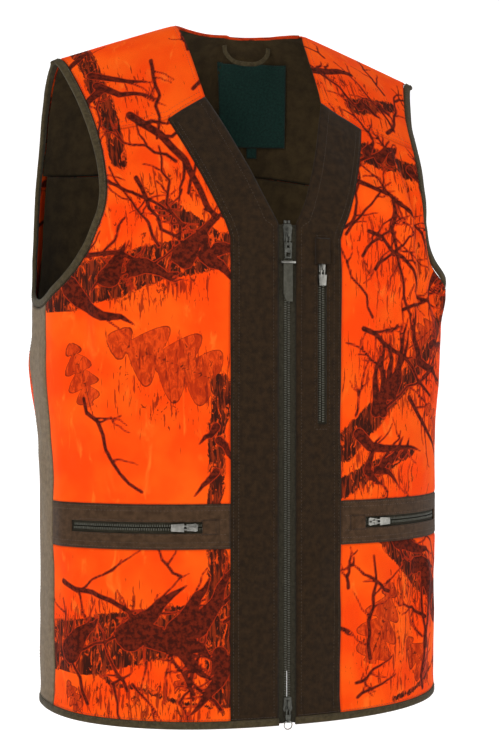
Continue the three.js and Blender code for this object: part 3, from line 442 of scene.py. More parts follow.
def node(tree, kind, **settings):
    made = tree.nodes.new(kind)
    inputs = settings.pop("inputs", {})
    for key, value in settings.items():
        setattr(made, key, value)
    for key, value in inputs.items():
        if hasattr(value, "node"):
            tree.links.new(value, made.inputs[key])
        else:
            made.inputs[key].default_value = value
    return made


def maths(tree, op, a, b=0.0, c=0.0, clamp=False):
    return node(tree, "ShaderNodeMath", operation=op, use_clamp=clamp, inputs={0: a, 1: b, 2: c}).outputs[0]


def ramp(tree, value, low, high):
    return node(tree, "ShaderNodeMapRange", interpolation_type="SMOOTHSTEP",
                inputs={"Value": value, "From Min": low, "From Max": high}).outputs["Result"]


def blend(tree, amount, a, b, mode="MIX"):
    made = node(tree, "ShaderNodeMix", data_type="RGBA", blend_type=mode)
    for index, value in ((0, amount), (6, a), (7, b)):
        if hasattr(value, "node"):
            tree.links.new(value, made.inputs[index])
        else:
            made.inputs[index].default_value = value
    return made.outputs[2]


def noise(tree, place, scale, detail=2.0, rough=0.5, distort=0.0):
    inputs = {"Vector": place, "Scale": scale, "Detail": detail, "Roughness": rough, "Distortion": distort}
    return node(tree, "ShaderNodeTexNoise", inputs=inputs).outputs["Fac"]


def stretch(tree, place, x, y, z=1.0):
    return node(tree, "ShaderNodeMapping", inputs={"Vector": place, "Scale": (x, y, z)}).outputs[0]


def spread(tree, value, gain, base):
    """A mark's depth, roughened by a noise that runs from 0 to 1."""
    return maths(tree, "MULTIPLY_ADD", maths(tree, "SUBTRACT", value, 0.5), gain, base)


def share(tree, value, amount):
    return maths(tree, "MULTIPLY", value, amount)


def weave_group():
    """Threads of a plain weave from a place in metres: a height, and a colour factor that paints shade between
    the raised threads and varies with the grain.
    """
    tree = bpy.data.node_groups.new("weave", "ShaderNodeTree")
    tree.interface.new_socket("Place", in_out="INPUT", socket_type="NodeSocketVector")
    pitch = tree.interface.new_socket("Threads per metre", in_out="INPUT", socket_type="NodeSocketFloat")
    pitch.default_value = 1400
    tree.interface.new_socket("Height", in_out="OUTPUT", socket_type="NodeSocketFloat")
    tree.interface.new_socket("Light", in_out="OUTPUT", socket_type="NodeSocketFloat")
    come, go = tree.nodes.new("NodeGroupInput"), tree.nodes.new("NodeGroupOutput")
    axes = node(tree, "ShaderNodeSeparateXYZ", inputs={0: come.outputs[0]})
    wave = []
    for k in (0, 1):
        turns = maths(tree, "MULTIPLY", maths(tree, "MULTIPLY", axes.outputs[k], come.outputs[1]), math.pi)
        wave.append(maths(tree, "SINE", turns))
    check = maths(tree, "MULTIPLY", wave[0], wave[1])
    grain = noise(tree, come.outputs[0], 900.0, 3.0, 0.6)
    height = maths(tree, "MULTIPLY_ADD", check, 0.35, grain)
    # Painted shade: the colour factor follows the height, lighter on the raised threads and darker in the
    # hollows between them, with random grain tone.
    light = maths(tree, "MULTIPLY_ADD", maths(tree, "SUBTRACT", height, 0.5), 0.35, 1.0)
    tree.links.new(height, go.inputs[0])
    tree.links.new(light, go.inputs[1])
    return tree


WEAVE = weave_group()
def new_material(name, roughness, metallic=0.0):
    made = bpy.data.materials.new(name)
    made.use_nodes = True
    tree = made.node_tree
    shader = tree.nodes["Principled BSDF"]
    shader.inputs["Roughness"].default_value = roughness
    shader.inputs["Metallic"].default_value = metallic
    return made, tree, shader


def place_of(tree):
    return node(tree, "ShaderNodeUVMap", uv_map="cloth").outputs[0]


def finish_cloth(tree, shader, colour, place, threads, bump, sheen, rim=0.35):
    """Weave with its painted thread shade, painted shade along the seams and a little lint over a base colour,
    into the cloth's shader.
    """
    settings = {"Place": place, "Threads per metre": threads}
    weave = node(tree, "ShaderNodeGroup", node_tree=WEAVE, inputs=settings)
    # The weave's colour factor, painted thread shade with some grain, multiplies the colour.
    thread_shade = node(tree, "ShaderNodeCombineColor")
    for k in range(3):
        tree.links.new(weave.outputs["Light"], thread_shade.inputs[k])
    colour = blend(tree, 1.0, colour, thread_shade.outputs[0], "MULTIPLY")
    # Painted shade: within 2.4 mm of a panel's edge, where the rim rolls into a seam's valley, the colour
    # darkens towards near black; rim sets how strong it is.
    seam = node(tree, "ShaderNodeAttribute", attribute_name="rim").outputs["Fac"]
    seam_shade = share(tree, maths(tree, "SUBTRACT", 1.0, ramp(tree, seam, 0.0, 2.4)), rim)
    colour = blend(tree, seam_shade, colour, (0.01, 0.006, 0.004, 1))
    tree.links.new(colour, shader.inputs["Base Color"])
    shader.inputs["Sheen Weight"].default_value = sheen
    shader.inputs["Sheen Roughness"].default_value = 0.5
    shader.inputs["Specular IOR Level"].default_value = 0.12
    pucker = noise(tree, place, 120.0, 3.0)
    height = maths(tree, "MULTIPLY_ADD", pucker, 2.0, weave.outputs["Height"])
    made = node(tree, "ShaderNodeBump", inputs={"Height": height, "Distance": bump, "Strength": 0.6})
    tree.links.new(made.outputs[0], shader.inputs["Normal"])


def printed_cloth():
    """The printed twigs, bark and leaves over the dyed orange, from the cloth's own marks."""
    made, tree, shader = new_material("printed_orange", 0.88)
    place = place_of(tree)
    mark = {n: node(tree, "ShaderNodeAttribute", attribute_name=n).outputs["Fac"]
            for n in ("twig", "bark", "leaf", "vein", "busy")}
    wide = noise(tree, place, 16.0, 3.0)
    fine = noise(tree, place, 210.0, 4.0, 0.62)
    streak = noise(tree, stretch(tree, place, 330.0, 42.0), 1.0, 4.0, 0.6, 0.4)
    flake = noise(tree, stretch(tree, place, 130.0, 60.0), 1.0, 5.0, 0.7, 1.2)
    cloud = noise(tree, stretch(tree, place, 60.0, 22.0), 1.0, 4.0, 0.6, 0.8)
    base = blend(tree, ramp(tree, wide, 0.36, 0.66), srgb(244, 66, 0), srgb(250, 88, 8))
    base = blend(tree, share(tree, ramp(tree, cloud, 0.56, 0.72), 0.45), base, srgb(252, 124, 36))
    # Leaves: deeper orange with darker veins and a broken outline.
    edge = spread(tree, fine, 3.0, mark["leaf"])
    inside = ramp(tree, edge, -0.3, 0.5)
    leaf = blend(tree, ramp(tree, flake, 0.4, 0.62), srgb(160, 38, 5), srgb(218, 66, 10))
    base = blend(tree, share(tree, inside, 0.9), base, leaf)
    away = ramp(tree, maths(tree, "ABSOLUTE", edge), 0.5, 1.9)
    line = share(tree, inside, maths(tree, "SUBTRACT", 1.0, away))
    base = blend(tree, share(tree, line, 0.9), base, srgb(98, 24, 6))
    rib = ramp(tree, spread(tree, fine, 1.2, mark["vein"]), -0.2, 0.35)
    base = blend(tree, share(tree, rib, 0.9), base, srgb(84, 20, 6))
    # Loose scraps of twig and litter where the print is busy.
    scrap = ramp(tree, maths(tree, "MULTIPLY_ADD", mark["busy"], 0.19, streak), 0.70, 0.75)
    base = blend(tree, share(tree, scrap, 0.8), base, srgb(120, 24, 6))
    speck = ramp(tree, maths(tree, "MULTIPLY_ADD", mark["busy"], 0.17, flake), 0.73, 0.77)
    base = blend(tree, share(tree, speck, 0.85), base, srgb(78, 18, 5))
    # Bark: dark, split by orange and rust streaks.
    mass = ramp(tree, spread(tree, flake, 15.0, mark["bark"]), -0.6, 0.8)
    wood = blend(tree, ramp(tree, streak, 0.44, 0.62), srgb(52, 18, 8), srgb(132, 40, 10))
    wood = blend(tree, ramp(tree, flake, 0.54, 0.62), wood, srgb(222, 68, 8))
    base = blend(tree, mass, base, wood)
    # Twigs: thin dark lines with a rust edge.
    thin = spread(tree, fine, 1.6, mark["twig"])
    stem = blend(tree, ramp(tree, fine, 0.4, 0.6), srgb(60, 15, 5), srgb(104, 28, 9))
    base = blend(tree, ramp(tree, thin, -1.3, 0.1), base, srgb(176, 42, 8))
    base = blend(tree, ramp(tree, thin, -0.25, 0.3), base, stem)
    finish_cloth(tree, shader, base, place, 1150, 0.00016, 0.0, 0.25)
    return made


PRINTED = printed_cloth()

# The print is laid out on the flat cloth, in mm: s runs round the body and h up. Each panel
# stores how deep each of its points lies inside each kind of mark.
RNG = np.random.default_rng(41)
STROKES = {"twig": [], "bark": [], "vein": []}
LEAVES = []
BUSY = []


def heading(turn):
    return np.array([math.cos(turn), math.sin(turn)])


def wander(a, b, sway, n=9):
    a, b = np.array(a, float), np.array(b, float)
    t = np.linspace(0, 1, n)[:, None]
    across = np.array([-(b - a)[1], (b - a)[0]])
    off = np.cumsum(RNG.normal(0, 1, n))[:, None]
    off = (off - t * off[-1]) * sway / max(1.0, math.sqrt(n))
    return a + (b - a) * t + across * off


def branch(a, b, w0, w1, twigs=4, sway=0.09, kind="twig"):
    """A branch from a to b, w0 wide at a and w1 at b, with twigs off it."""
    path = wander(a, b, sway)
    STROKES[kind].append((path, np.linspace(w0, w1, len(path))))
    length = np.linalg.norm(path[-1] - path[0])
    for _ in range(twigs):
        k = RNG.integers(1, len(path) - 1)
        way = path[k + 1] - path[k - 1]
        way = way / np.linalg.norm(way)
        c, s = heading(RNG.choice([-1, 1]) * RNG.uniform(0.5, 1.1))
        way = np.array([way[0] * c - way[1] * s, way[0] * s + way[1] * c])
        reach = length * RNG.uniform(0.16, 0.42)
        tip = path[k] + way * reach
        side = wander(path[k], tip, 0.12, 6)
        root = max(1.6, mix(w0, w1, k / len(path)) * 0.45)
        STROKES["twig"].append((side, np.linspace(root, 0.7, 6)))
        if reach > 36:
            fork = wander(side[3], side[3] + (tip - path[k]) * 0.5 + RNG.normal(0, 9, 2), 0.12, 5)
            STROKES["twig"].append((fork, np.linspace(1.6, 0.6, 5)))


def leaf(centre, size, turn):
    """A lobed leaf with its midrib and five pairs of veins."""
    c, way = np.array(centre, float), heading(turn)
    LEAVES.append((c, size, turn))
    midrib = np.array([c - way * size * 1.25, c + way * size * 0.9])
    STROKES["vein"].append((midrib, np.array([1.8, 0.8])))
    for k in range(-2, 3):
        root = c + way * size * 0.3 * k
        for s in (-1, 1):
            tip = root + heading(turn + s * 0.9) * size * 0.5
            STROKES["vein"].append((np.array([root, tip]), np.array([1.1, 0.4])))


def loose(count, side, s_range, h_ranges, turns, reaches, widths, tip, twigs):
    """Branches at random places; h_ranges holds one or more ranges to choose from."""
    for _ in range(count):
        s = side * RNG.uniform(*s_range)
        h = RNG.choice([RNG.uniform(*r) for r in h_ranges]) if len(h_ranges) > 1 else RNG.uniform(*h_ranges[0])
        a, way = np.array([s, h]), heading(RNG.uniform(*turns))
        branch(a, a + way * RNG.uniform(*reaches), RNG.uniform(*widths), tip, twigs)


# Branches: start, end, width at each end, twigs, and for some the sway and the kind of mark.
RIGHT_BRANCHES = (
    ((-181, 762), (-162, 580), 26, 17, 4, 0.03, "bark"), ((-143, 628), (-72, 508), 8, 5, 5),
    ((-110, 690), (-120, 600), 3.5, 2, 3), ((-206, 590), (-104, 498), 4, 2.5, 4),
    ((-246, 432), (-58, 478), 48, 32, 6, 0.03, "bark"), ((-120, 520), (-64, 470), 24, 30, 3, 0.03, "bark"),
    ((-230, 470), (-110, 452), 5, 3, 4), ((-150, 560), (-92, 470), 4, 2, 4),
    ((-70, 344), (-78, 226), 20, 15, 3, 0.04, "bark"), ((-208, 330), (-150, 236), 4, 2.5, 3),
    ((-256, 74), (-66, 106), 62, 46, 7, 0.03, "bark"), ((-72, 176), (-66, 40), 20, 40, 3, 0.03, "bark"),
    ((-240, 150), (-96, 74), 5, 3, 5), ((-210, 60), (-80, 22), 7, 4, 5, 0.06, "bark"))
LEFT_BRANCHES = (
    ((62, 676), (116, 694), 9, 6, 3, 0.1), ((104, 646), (164, 666), 20, 15, 3, 0.06, "bark"),
    ((88, 590), (206, 582), 24, 20, 5, 0.04, "bark"), ((208, 592), (222, 430), 26, 20, 4, 0.03, "bark"),
    ((84, 560), (190, 470), 5, 3, 6), ((120, 540), (150, 400), 4, 2, 5), ((90, 500), (200, 420), 4, 2, 5),
    ((64, 276), (226, 420), 28, 17, 9, 0.04, "bark"), ((84, 400), (190, 330), 5, 3, 6),
    ((150, 330), (236, 250), 5, 3, 4), ((62, 236), (150, 272), 22, 15, 6, 0.05, "bark"),
    ((120, 192), (244, 84), 44, 32, 6, 0.04, "bark"), ((92, 60), (100, 166), 4, 2, 4),
    ((180, 20), (190, 120), 5, 2.5, 4), ((130, 14), (230, 44), 7, 4, 4, 0.06, "bark"))
# Leaves: centre, half length and direction.
FRONT_LEAVES = (
    ((-122, 366), 62, 2.75), ((-212, 352), 34, 1.9), ((-104, 54), 17, 0.9), ((-226, 30), 18, 2.2),
    ((110, 96), 44, 1.25), ((172, 50), 34, 2.3), ((176, 396), 30, 0.5), ((204, 300), 30, 2.4))
# Places thick with litter: centre, reach round and up, and how thick.
FRONT_BUSY = (
    ((-150, 640), 50, 60, .7), ((-120, 520), 60, 60, .8), ((-150, 450), 90, 40, 1), ((-120, 345), 80, 60, .7),
    ((-160, 95), 110, 45, 1), ((-140, 30), 120, 26, 1), ((-210, 540), 40, 60, .7), ((110, 660), 60, 40, .8),
    ((150, 570), 70, 30, .8), ((140, 480), 80, 70, .9), ((150, 360), 90, 60, 1), ((110, 250), 60, 30, 1),
    ((180, 130), 70, 50, 1), ((130, 60), 60, 50, .8))


def lay_out():
    for row in RIGHT_BRANCHES:
        branch(*row)
    loose(26, -1, (66, 240), ((560, 740), (420, 540), (10, 165)), (0.4, 2.6), (40, 110), (2.2, 4), 1.2, 3)
    for row in LEFT_BRANCHES:
        branch(*row)
    loose(46, 1, (66, 250), ((520, 740), (236, 560), (10, 165)), (0.3, 2.8), (40, 120), (2.2, 4), 1.2, 3)
    for row in FRONT_LEAVES:
        leaf(*row)
    BUSY.extend(FRONT_BUSY)
    # The back, in the same manner: masses of bark on a loose grid, leaves and twigs between.
    for column in range(4):
        for row in range(5):
            a = np.array([370 + column * 135 + RNG.uniform(-30, 30), 60 + row * 150 + RNG.uniform(-40, 40)])
            turn, reach = RNG.uniform(0, 3.1), RNG.uniform(110, 210)
            b = a + heading(turn) * reach
            wide = RNG.uniform(18, 50)
            branch(a, b, wide, wide * 0.6, 7, 0.04, "bark")
            BUSY.append((tuple((a + b) / 2), 90, 70, 0.95))
    loose(70, 1, (336, 850), ((14, 740),), (0.3, 2.8), (50, 130), (2.4, 5), 1.3, 4)
    for _ in range(16):
        leaf((RNG.uniform(340, 846), RNG.uniform(20, 740)), RNG.uniform(26, 56), RNG.uniform(0, 6.28))


lay_out()
BACK_START, CLOTH_ROUND = -335, 1186


def mark_print(obj, s, h):
    """Stores the print's marks on a panel's points. The back runs on past the side seam."""
    s, h = np.asarray(s, float).ravel(), np.asarray(h, float).ravel()
    back = np.where(s < BACK_START, s + CLOTH_ROUND, s)
    p = np.stack([back, h], 1)
    for kind, strokes in STROKES.items():
        depth = np.full(len(p), NO_MARK)
        for path, widths in strokes:
            low, high = path.min(0) - 20, path.max(0) + 20
            near = np.nonzero(((p >= low) & (p <= high)).all(1))[0]
            if not len(near):
                continue
            q = p[near]
            for k in range(len(path) - 1):
                a, b = path[k], path[k + 1]
                t = np.clip(((q - a) @ (b - a)) / max((b - a) @ (b - a), 1e-9), 0, 1)
                gap = np.linalg.norm(q - a - t[:, None] * (b - a), axis=1)
                depth[near] = np.maximum(depth[near], mix(widths[k], widths[k + 1], t) / 2 - gap)
        layer(obj, kind, depth)
    depth = np.full(len(p), NO_MARK)
    for centre, size, turn in LEAVES:
        q = p - centre
        u = (q[:, 0] * math.cos(turn) + q[:, 1] * math.sin(turn)) / size
        v = np.abs(-q[:, 0] * math.sin(turn) + q[:, 1] * math.cos(turn)) / size
        lean = u + 0.45 * v
        shape = np.sqrt(np.clip(1 - u * u, 0, 1)) * (1 - 0.35 * u)
        lobes = shape * (0.13 + 0.44 * np.abs(np.cos(lean * 6.4 + 0.4)) ** 0.7)
        depth = np.maximum(depth, np.where(np.abs(u) < 1, (lobes - v) * size, NO_MARK))
    layer(obj, "leaf", depth)
    much = np.zeros(len(p))
    for (cs, ch), rx, ry, amount in BUSY:
        much = np.maximum(much, amount * smooth(1.5 - np.hypot((p[:, 0] - cs) / rx, (p[:, 1] - ch) / ry)))
    layer(obj, "busy", much)


def sewn(name, left, right, low, high, nu, nv, side, material, node_name, out=0.0, thick=PANEL,
         printed=False, hole=None, roll=0.8, extra=None):
    """One cut and sewn panel: its edges, its grid, its looks and what it stands for."""
    angle, h = spots(left, right, low, high, nu, nv, side)
    cells = None if hole is None else hole(angle, h)
    lift = None if extra is None else extra(angle, h)
    obj = skin(name, angle, h, out, thick, material, roll, side, cells, lift)
    if printed:
        mark_print(obj, np.tile(cloth(angle).ravel(), 2), np.tile(h.ravel(), 2))
    cut = cut_of(angle, h)
    if cells is not None:
        cut = (cut[0], cut[1] * (1 - cells.mean()))
    declare(obj, cut, (node_name,))
    return obj


for hand, side in HANDS:
    sewn(f"{hand}_yoke_cloth", front_edge, arm_front, yoke_seam, constant(RIDGE), 76, 76, side,
         PRINTED, f"{hand}_yoke", printed=True)
    sewn(f"{hand}_front_upper_cloth", placket_seam, front_side, constant(BAND_HIGH), yoke_seam, 112, 220,
         side, PRINTED, f"{hand}_front_upper", printed=True)
    sewn(f"{hand}_front_lower_cloth", placket_seam, front_side, hem_top, constant(BAND_LOW), 124, 100,
         side, PRINTED, f"{hand}_front_lower", printed=True)

# ---- plackets --------------------------------------------------------------------------
# Brushed dark brown cloth down both sides of the zip, widening into the border of the V.
# The wearer's left has a slot for the chest zip. Sewn to the fronts and yokes.
def plain_cloth(name, low, high, threads=1300, bump=0.00018, sheen=0.15, fleck=90.0, rough=0.92):
    """A one-colour cloth, varying softly between two close tones."""
    made, tree, shader = new_material(name, rough)
    place = place_of(tree)
    patch = noise(tree, place, fleck, 5.0, 0.65)
    fibre = noise(tree, stretch(tree, place, 1800.0, 500.0), 1.0, 2.0)
    colour = blend(tree, ramp(tree, patch, 0.3, 0.7), low, high)
    colour = blend(tree, maths(tree, "MULTIPLY", ramp(tree, fibre, 0.45, 0.75), 0.35), colour, high)
    finish_cloth(tree, shader, colour, place, threads, bump, sheen)
    return made


PLACKET = plain_cloth("placket_cloth", srgb(30, 20, 9), srgb(48, 33, 17), 900, 0.0003, 0.06, 150.0)


def centre_of(values):
    return (values[:-1, :-1] + values[1:, 1:]) / 2


def chest_hole(angle, h):
    x, up = surface(centre_of(angle), centre_of(h))[..., 0], centre_of(h)
    return (np.abs(x - CHEST_ZIP_X) < 5.0) & (up > 303) & (up < 487)


for hand, side in HANDS:
    sewn(f"{hand}_placket_cloth", front_edge, placket_seam, hem_top, yoke_seam, 30, 330, side,
         PLACKET, f"{hand}_placket", hole=chest_hole if side > 0 else None)

# ---- hand pocket bands -----------------------------------------------------------------
# Brown cloth bands across the fronts at the waist, each with a slot for its zip.
BAND = plain_cloth("band_cloth", srgb(52, 36, 22), srgb(76, 55, 37), 900, 0.0003, 0.08, 150.0)


def pocket_hole(angle, h):
    x, up = np.abs(surface(centre_of(angle), centre_of(h))[..., 0]), centre_of(h)
    return (np.abs(up - POCKET_Z) < 5.2) & (x > 72) & (x < 203)


for hand, side in HANDS:
    sewn(f"{hand}_pocket_band_cloth", placket_seam, front_side, constant(BAND_LOW), constant(BAND_HIGH),
         124, 28, side, BAND, f"{hand}_pocket_band", hole=pocket_hole)

# ---- side panels -----------------------------------------------------------------------
# Grey olive stretch knit under the arms, sewn between the fronts and the back.
SIDE = plain_cloth("side_knit", srgb(92, 76, 54), srgb(120, 101, 76), 1500, 0.0002, 0.1, 160.0)
for hand, side in HANDS:
    sewn(f"{hand}_side_cloth", constant(FRONT_SEAM), constant(BACK_SEAM), hem_top, arm_under, 32, 150,
         side, SIDE, f"{hand}_side_panel")

# ---- back and back yoke ----------------------------------------------------------------
# The same printed polyester in one wide panel, sewn to a yoke that runs over the shoulders.
def back_top(angle):
    """The back neck's edge: a shallow scoop between the shoulders' neck points."""
    neck = 180 - float(angle_at(NECK_X))
    across = np.clip((180 - np.abs(180 - angle) - neck) / (180 - neck), 0, 1)
    return RIDGE - (RIDGE - BACK_NECK) * np.sin(across * np.pi / 2) ** 0.8


sewn("back_cloth", back_side, lambda h: 360 - back_side(h), hem_top, constant(BACK_YOKE), 204, 226, 1,
     PRINTED, "back_panel", printed=True)
sewn("back_yoke_cloth", arm_back, lambda h: 360 - arm_back(h), constant(BACK_YOKE), back_top, 180, 80, 1,
     PRINTED, "back_yoke", printed=True)

# ---- lining, neck facing and pocket bags -----------------------------------------------
# Smooth olive lining hung inside the shell, a facing round the inside of the neck and plain
# pocketing behind each zip, all sewn in at their edges.
LINING = plain_cloth("lining_cloth", srgb(44, 33, 16), srgb(66, 52, 29), 1600, 0.0001, 0.05, 60.0, 0.8)
BAG = plain_cloth("pocketing", srgb(40, 37, 28), srgb(56, 52, 40), 1400, 0.0001, 0.1)
FACING_SEAM = height_at(0, 590, True)
LINING_OUT, BAG_OUT, FACING_OUT, LINING_THICK = -2.6, -5.4, -3.2, 0.8


def pocket_room(angle, h):
    """How far the front lining hangs back, to leave the pocket bags their room."""
    a = np.abs(angle)
    x = np.abs(surface(a, h)[..., 0])
    return -4.6 * (smooth((x - 16.5) / 9) * smooth((92 - a) / 12) * smooth((h - 14) / 24)
                   * (1 - smooth((h - 493) / 40)) * smooth((front_side(h) + 11 - a) / 11 + 0.1))


def front_lining_side(h):
    low = h < arm_under(93.0) - 2
    return np.minimum(92.6, np.where(low, 92.6, arm_front(np.minimum(RIDGE, h + 2)) - 2))


def back_lining_side(h):
    low = h < arm_under(93.0) - 2
    return np.where(low, 93.4, np.maximum(93.4, arm_back(h) + 2.6))


def back_room(angle, h):
    return -2.6 * smooth((85 - np.abs(180 - angle)) / 9) * smooth((h - 12) / 20)


for hand, side in HANDS:
    sewn(f"{hand}_lining_cloth", lambda h: np.maximum(angle_at(15.5, h), front_edge(h) + 0.3),
         front_lining_side, hem_top, constant(RIDGE - 0.5), 60, 170, side, LINING,
         f"{hand}_front_lining", LINING_OUT, LINING_THICK, roll=0.2, extra=pocket_room)
    sewn(f"{hand}_pocket_bag_cloth", constant(float(angle_at(66, 100))), constant(float(angle_at(201, 100))),
         constant(48), constant(215), 60, 56, side, BAG, f"{hand}_pocket_bag",
         BAG_OUT, LINING_THICK, roll=0.3)
sewn("back_lining_cloth", back_lining_side, lambda h: 360 - back_lining_side(h), hem_top,
     constant(FACING_SEAM), 130, 130, 1, LINING, "back_lining", LINING_OUT, LINING_THICK,
     roll=0.3, extra=back_room)
sewn("neck_facing_cloth", arm_back, lambda h: 360 - arm_back(h), constant(FACING_SEAM),
     lambda a: back_top(a) - 1.0, 150, 56, 1, LINING, "neck_facing", FACING_OUT, LINING_THICK,
     roll=0.4)
sewn("chest_bag_cloth", lambda h: angle_at(30.0, h), lambda h: angle_at(116.0, h), constant(293),
     constant(467), 30, 56, 1, BAG, "chest_pocket_bag", BAG_OUT, LINING_THICK,
     roll=0.3)

# ---- bindings and the neck's folded edge -----------------------------------------------
# Folded woven tape sewn over the armhole edges and round the hem: a soft rounded strip
# following the cloth it covers, a little uneven. The back neck's edge is turned in.
TRIM = plain_cloth("binding_tape", srgb(52, 44, 28), srgb(76, 66, 45), 1100, 0.0003, 0.08, 200.0)
FOLDED_WIDTH, NARROW_WIDTH = 0.0125, 0.0101
BINDING_MID, BINDING_THICK = -1.7, 4.6


def face_out(obj):
    tidy = bmesh.new()
    tidy.from_mesh(obj.data)
    bmesh.ops.recalc_face_normals(tidy, faces=tidy.faces)
    tidy.to_mesh(obj.data)
    tidy.free()


def tube(name, rings, material, loop=False):
    """A closed skin through rings of points, in metres, one ring per step along a strip."""
    n, m = rings.shape[:2]
    faces = [(i * m + k, ((i + 1) % n) * m + k, ((i + 1) % n) * m + (k + 1) % m, i * m + (k + 1) % m)
             for i in range(n if loop else n - 1) for k in range(m)]
    if not loop:
        faces += [tuple(range(m)), tuple(range(n * m - 1, (n - 1) * m - 1, -1))]
    obj = mesh_object(name, rings, faces, material)
    face_out(obj)
    layer(obj, "rim", np.full(n * m, 9.0))
    return obj


def length_along(points):
    return np.concatenate([[0], np.cumsum(np.linalg.norm(np.diff(points, axis=0), axis=1))])


def ribbon(name, angle, h, half, thick, mid, material, loop=False):
    """A rounded strip swept along a line on the cloth; half its width, its thickness, its middle."""
    centre = cloth_points(angle, h, mid) * 1000
    out = normal(angle, h)
    if loop:
        along = np.roll(centre, -1, 0) - np.roll(centre, 1, 0)
    else:
        along = np.gradient(centre, axis=0)
    wide = np.cross(along, out)
    wide /= np.linalg.norm(wide, axis=1, keepdims=True)
    out = np.cross(wide, along)
    out /= np.linalg.norm(out, axis=1, keepdims=True)
    turn = np.linspace(0, 2 * np.pi, 20, endpoint=False)
    u = np.sign(np.cos(turn)) * np.abs(np.cos(turn)) ** 0.45 * half
    v = np.sign(np.sin(turn)) * np.abs(np.sin(turn)) ** 0.7 * thick / 2
    dent = 0.35 * np.exp(-((u + half * 0.55) / 0.5) ** 2) * np.sign(np.sin(turn))
    run = length_along(centre)
    swell = 1 + 0.075 * ripple(run / 7 + 11, run * 0 + 3.5, 12)
    off = ((v - dent)[None] * swell[:, None])[..., None]
    rings = centre[:, None] + wide[:, None] * u[None, :, None] + out[:, None] * off
    obj = tube(name, rings / 1000, material, loop)
    around = np.concatenate([[0], np.cumsum(np.hypot(np.diff(u), np.diff(v)))])
    map_cloth(obj, np.tile(around, len(run)), np.repeat(run, len(turn)))
    return obj, float(run[-1]) / 1000


for hand, side in HANDS:
    a, h = arm_line(3.8)
    obj, run = ribbon(f"{hand}_armhole_tape", side * a[:-1], h[:-1], 4.1, BINDING_THICK, BINDING_MID,
                      TRIM, True)
    declare(obj, ((FOLDED_WIDTH, round(run, 3)), 1), (f"{hand}_armhole_binding",))
zip_side = float(angle_at(9.6))
a = np.linspace(zip_side, 360 - zip_side, 620)
obj, run = ribbon("hem_tape", a, hem(a) + 3.9, 4.0, BINDING_THICK, BINDING_MID, TRIM)
declare(obj, ((FOLDED_WIDTH, round(run, 3)), 1), ("hem_binding",))
neck_side = float(angle_at(NECK_X, BASE, True)) + 0.6
a = np.linspace(neck_side, 360 - neck_side, 120)
obj, run = ribbon("neck_edge_fold", a, back_top(a) - 1.2, 1.3, 4.4, -1.6, PRINTED)
mark_print(obj, np.full(len(obj.data.vertices), 593.0), np.full(len(obj.data.vertices), 700.0))
declare(obj, ((NARROW_WIDTH, round(run, 3)), 0.0065 * run), ())

# ---- label and size tab ----------------------------------------------------------------
# A plain woven damask label with a small tab below it, sewn to the neck facing.
LABEL = plain_cloth("label_damask", srgb(10, 34, 29), srgb(20, 54, 46), 2200, 0.00008, 0.1, 400.0, 0.6)


def back_height(x, z):
    """Height coordinate of the back's surface at width x and height z."""
    t = np.linspace(0, 1, 400)
    want = (z - BASE) / (ridge_z(x) - BASE)
    return BASE + RISE * np.interp(want, bezier(0, BACK_UP, 1, 1, t), t)


def hung_piece(name, x0, x1, z0, z1, node_name, nu, nv):
    """An upright label piece lying on the facing, between two widths and two heights."""
    x, z = np.meshgrid(np.linspace(x1, x0, nu + 1), np.linspace(z0, z1, nv + 1), indexing="ij")
    middle = angle_at(36.0, BASE, True)
    x = x + 0.37 * (surface(middle, back_height(36.0, z))[..., 1]
                    - surface(middle, back_height(36.0, 698.0))[..., 1])
    h = back_height(x, z)
    angle = angle_at(x, BASE, True)
    lift = 0.5 * ripple(x / 22 + 30, z / 26 + 30, 6)
    obj = skin(name, angle, h, -5.7, 0.5, LABEL, 0.3, 1, None, lift)
    declare(obj, cut_of(angle, h), (node_name,))


hung_piece("label_cloth", -3.0, 75.0, 619.0, 706.0, "neck_label", 44, 48)
hung_piece("tab_cloth", 30.0, 42.0, 607.0, 618.5, "size_tab", 12, 12)

# ---- hanger loop -----------------------------------------------------------------------
# A narrow folded tape with both ends sewn at the back neck, hanging in a flat-bottomed arc.
def box(name):
    return (np.array(p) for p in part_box(name))


LOOP_HALF_WIDTH, LOOP_HALF_THICK = 0.0025, 0.0007
lo, hi = box("hanger_loop")
middle = (lo + hi) / 2
bend = spline([(-1, 0), (-0.95, -0.42), (-0.7, -0.82), (-0.4, -1),
               (0.4, -1), (0.7, -0.82), (0.95, -0.42), (1, 0)], 70)
across = (hi[0] - lo[0]) / 2 - LOOP_HALF_WIDTH
drop = hi[2] - lo[2] - LOOP_HALF_WIDTH
path = np.stack([middle[0] + bend[:, 0] * across, np.full(71, middle[1]), hi[2] + bend[:, 1] * drop], 1)
wide = np.cross(np.gradient(path, axis=0), (0, 1, 0))
wide /= np.linalg.norm(wide, axis=1, keepdims=True)
turn = np.linspace(0, 2 * np.pi, 16, endpoint=False)
u = np.sign(np.cos(turn)) * np.abs(np.cos(turn)) ** 0.5 * LOOP_HALF_WIDTH
v = np.sign(np.sin(turn)) * np.abs(np.sin(turn)) ** 0.7 * LOOP_HALF_THICK
rings = path[:, None] + wide[:, None] * u[None, :, None] + np.array((0, 1, 0)) * v[None, :, None]
loop_tape = tube("loop_tape", rings, TRIM)
run = length_along(path)
map_cloth(loop_tape, np.tile(u * 1000, 71), np.repeat(run * 1000, 16))
declare(loop_tape, ((NARROW_WIDTH, round(float(run[-1]), 3)), 0.006 * float(run[-1])),
        ("hanger_loop",), "hanger")

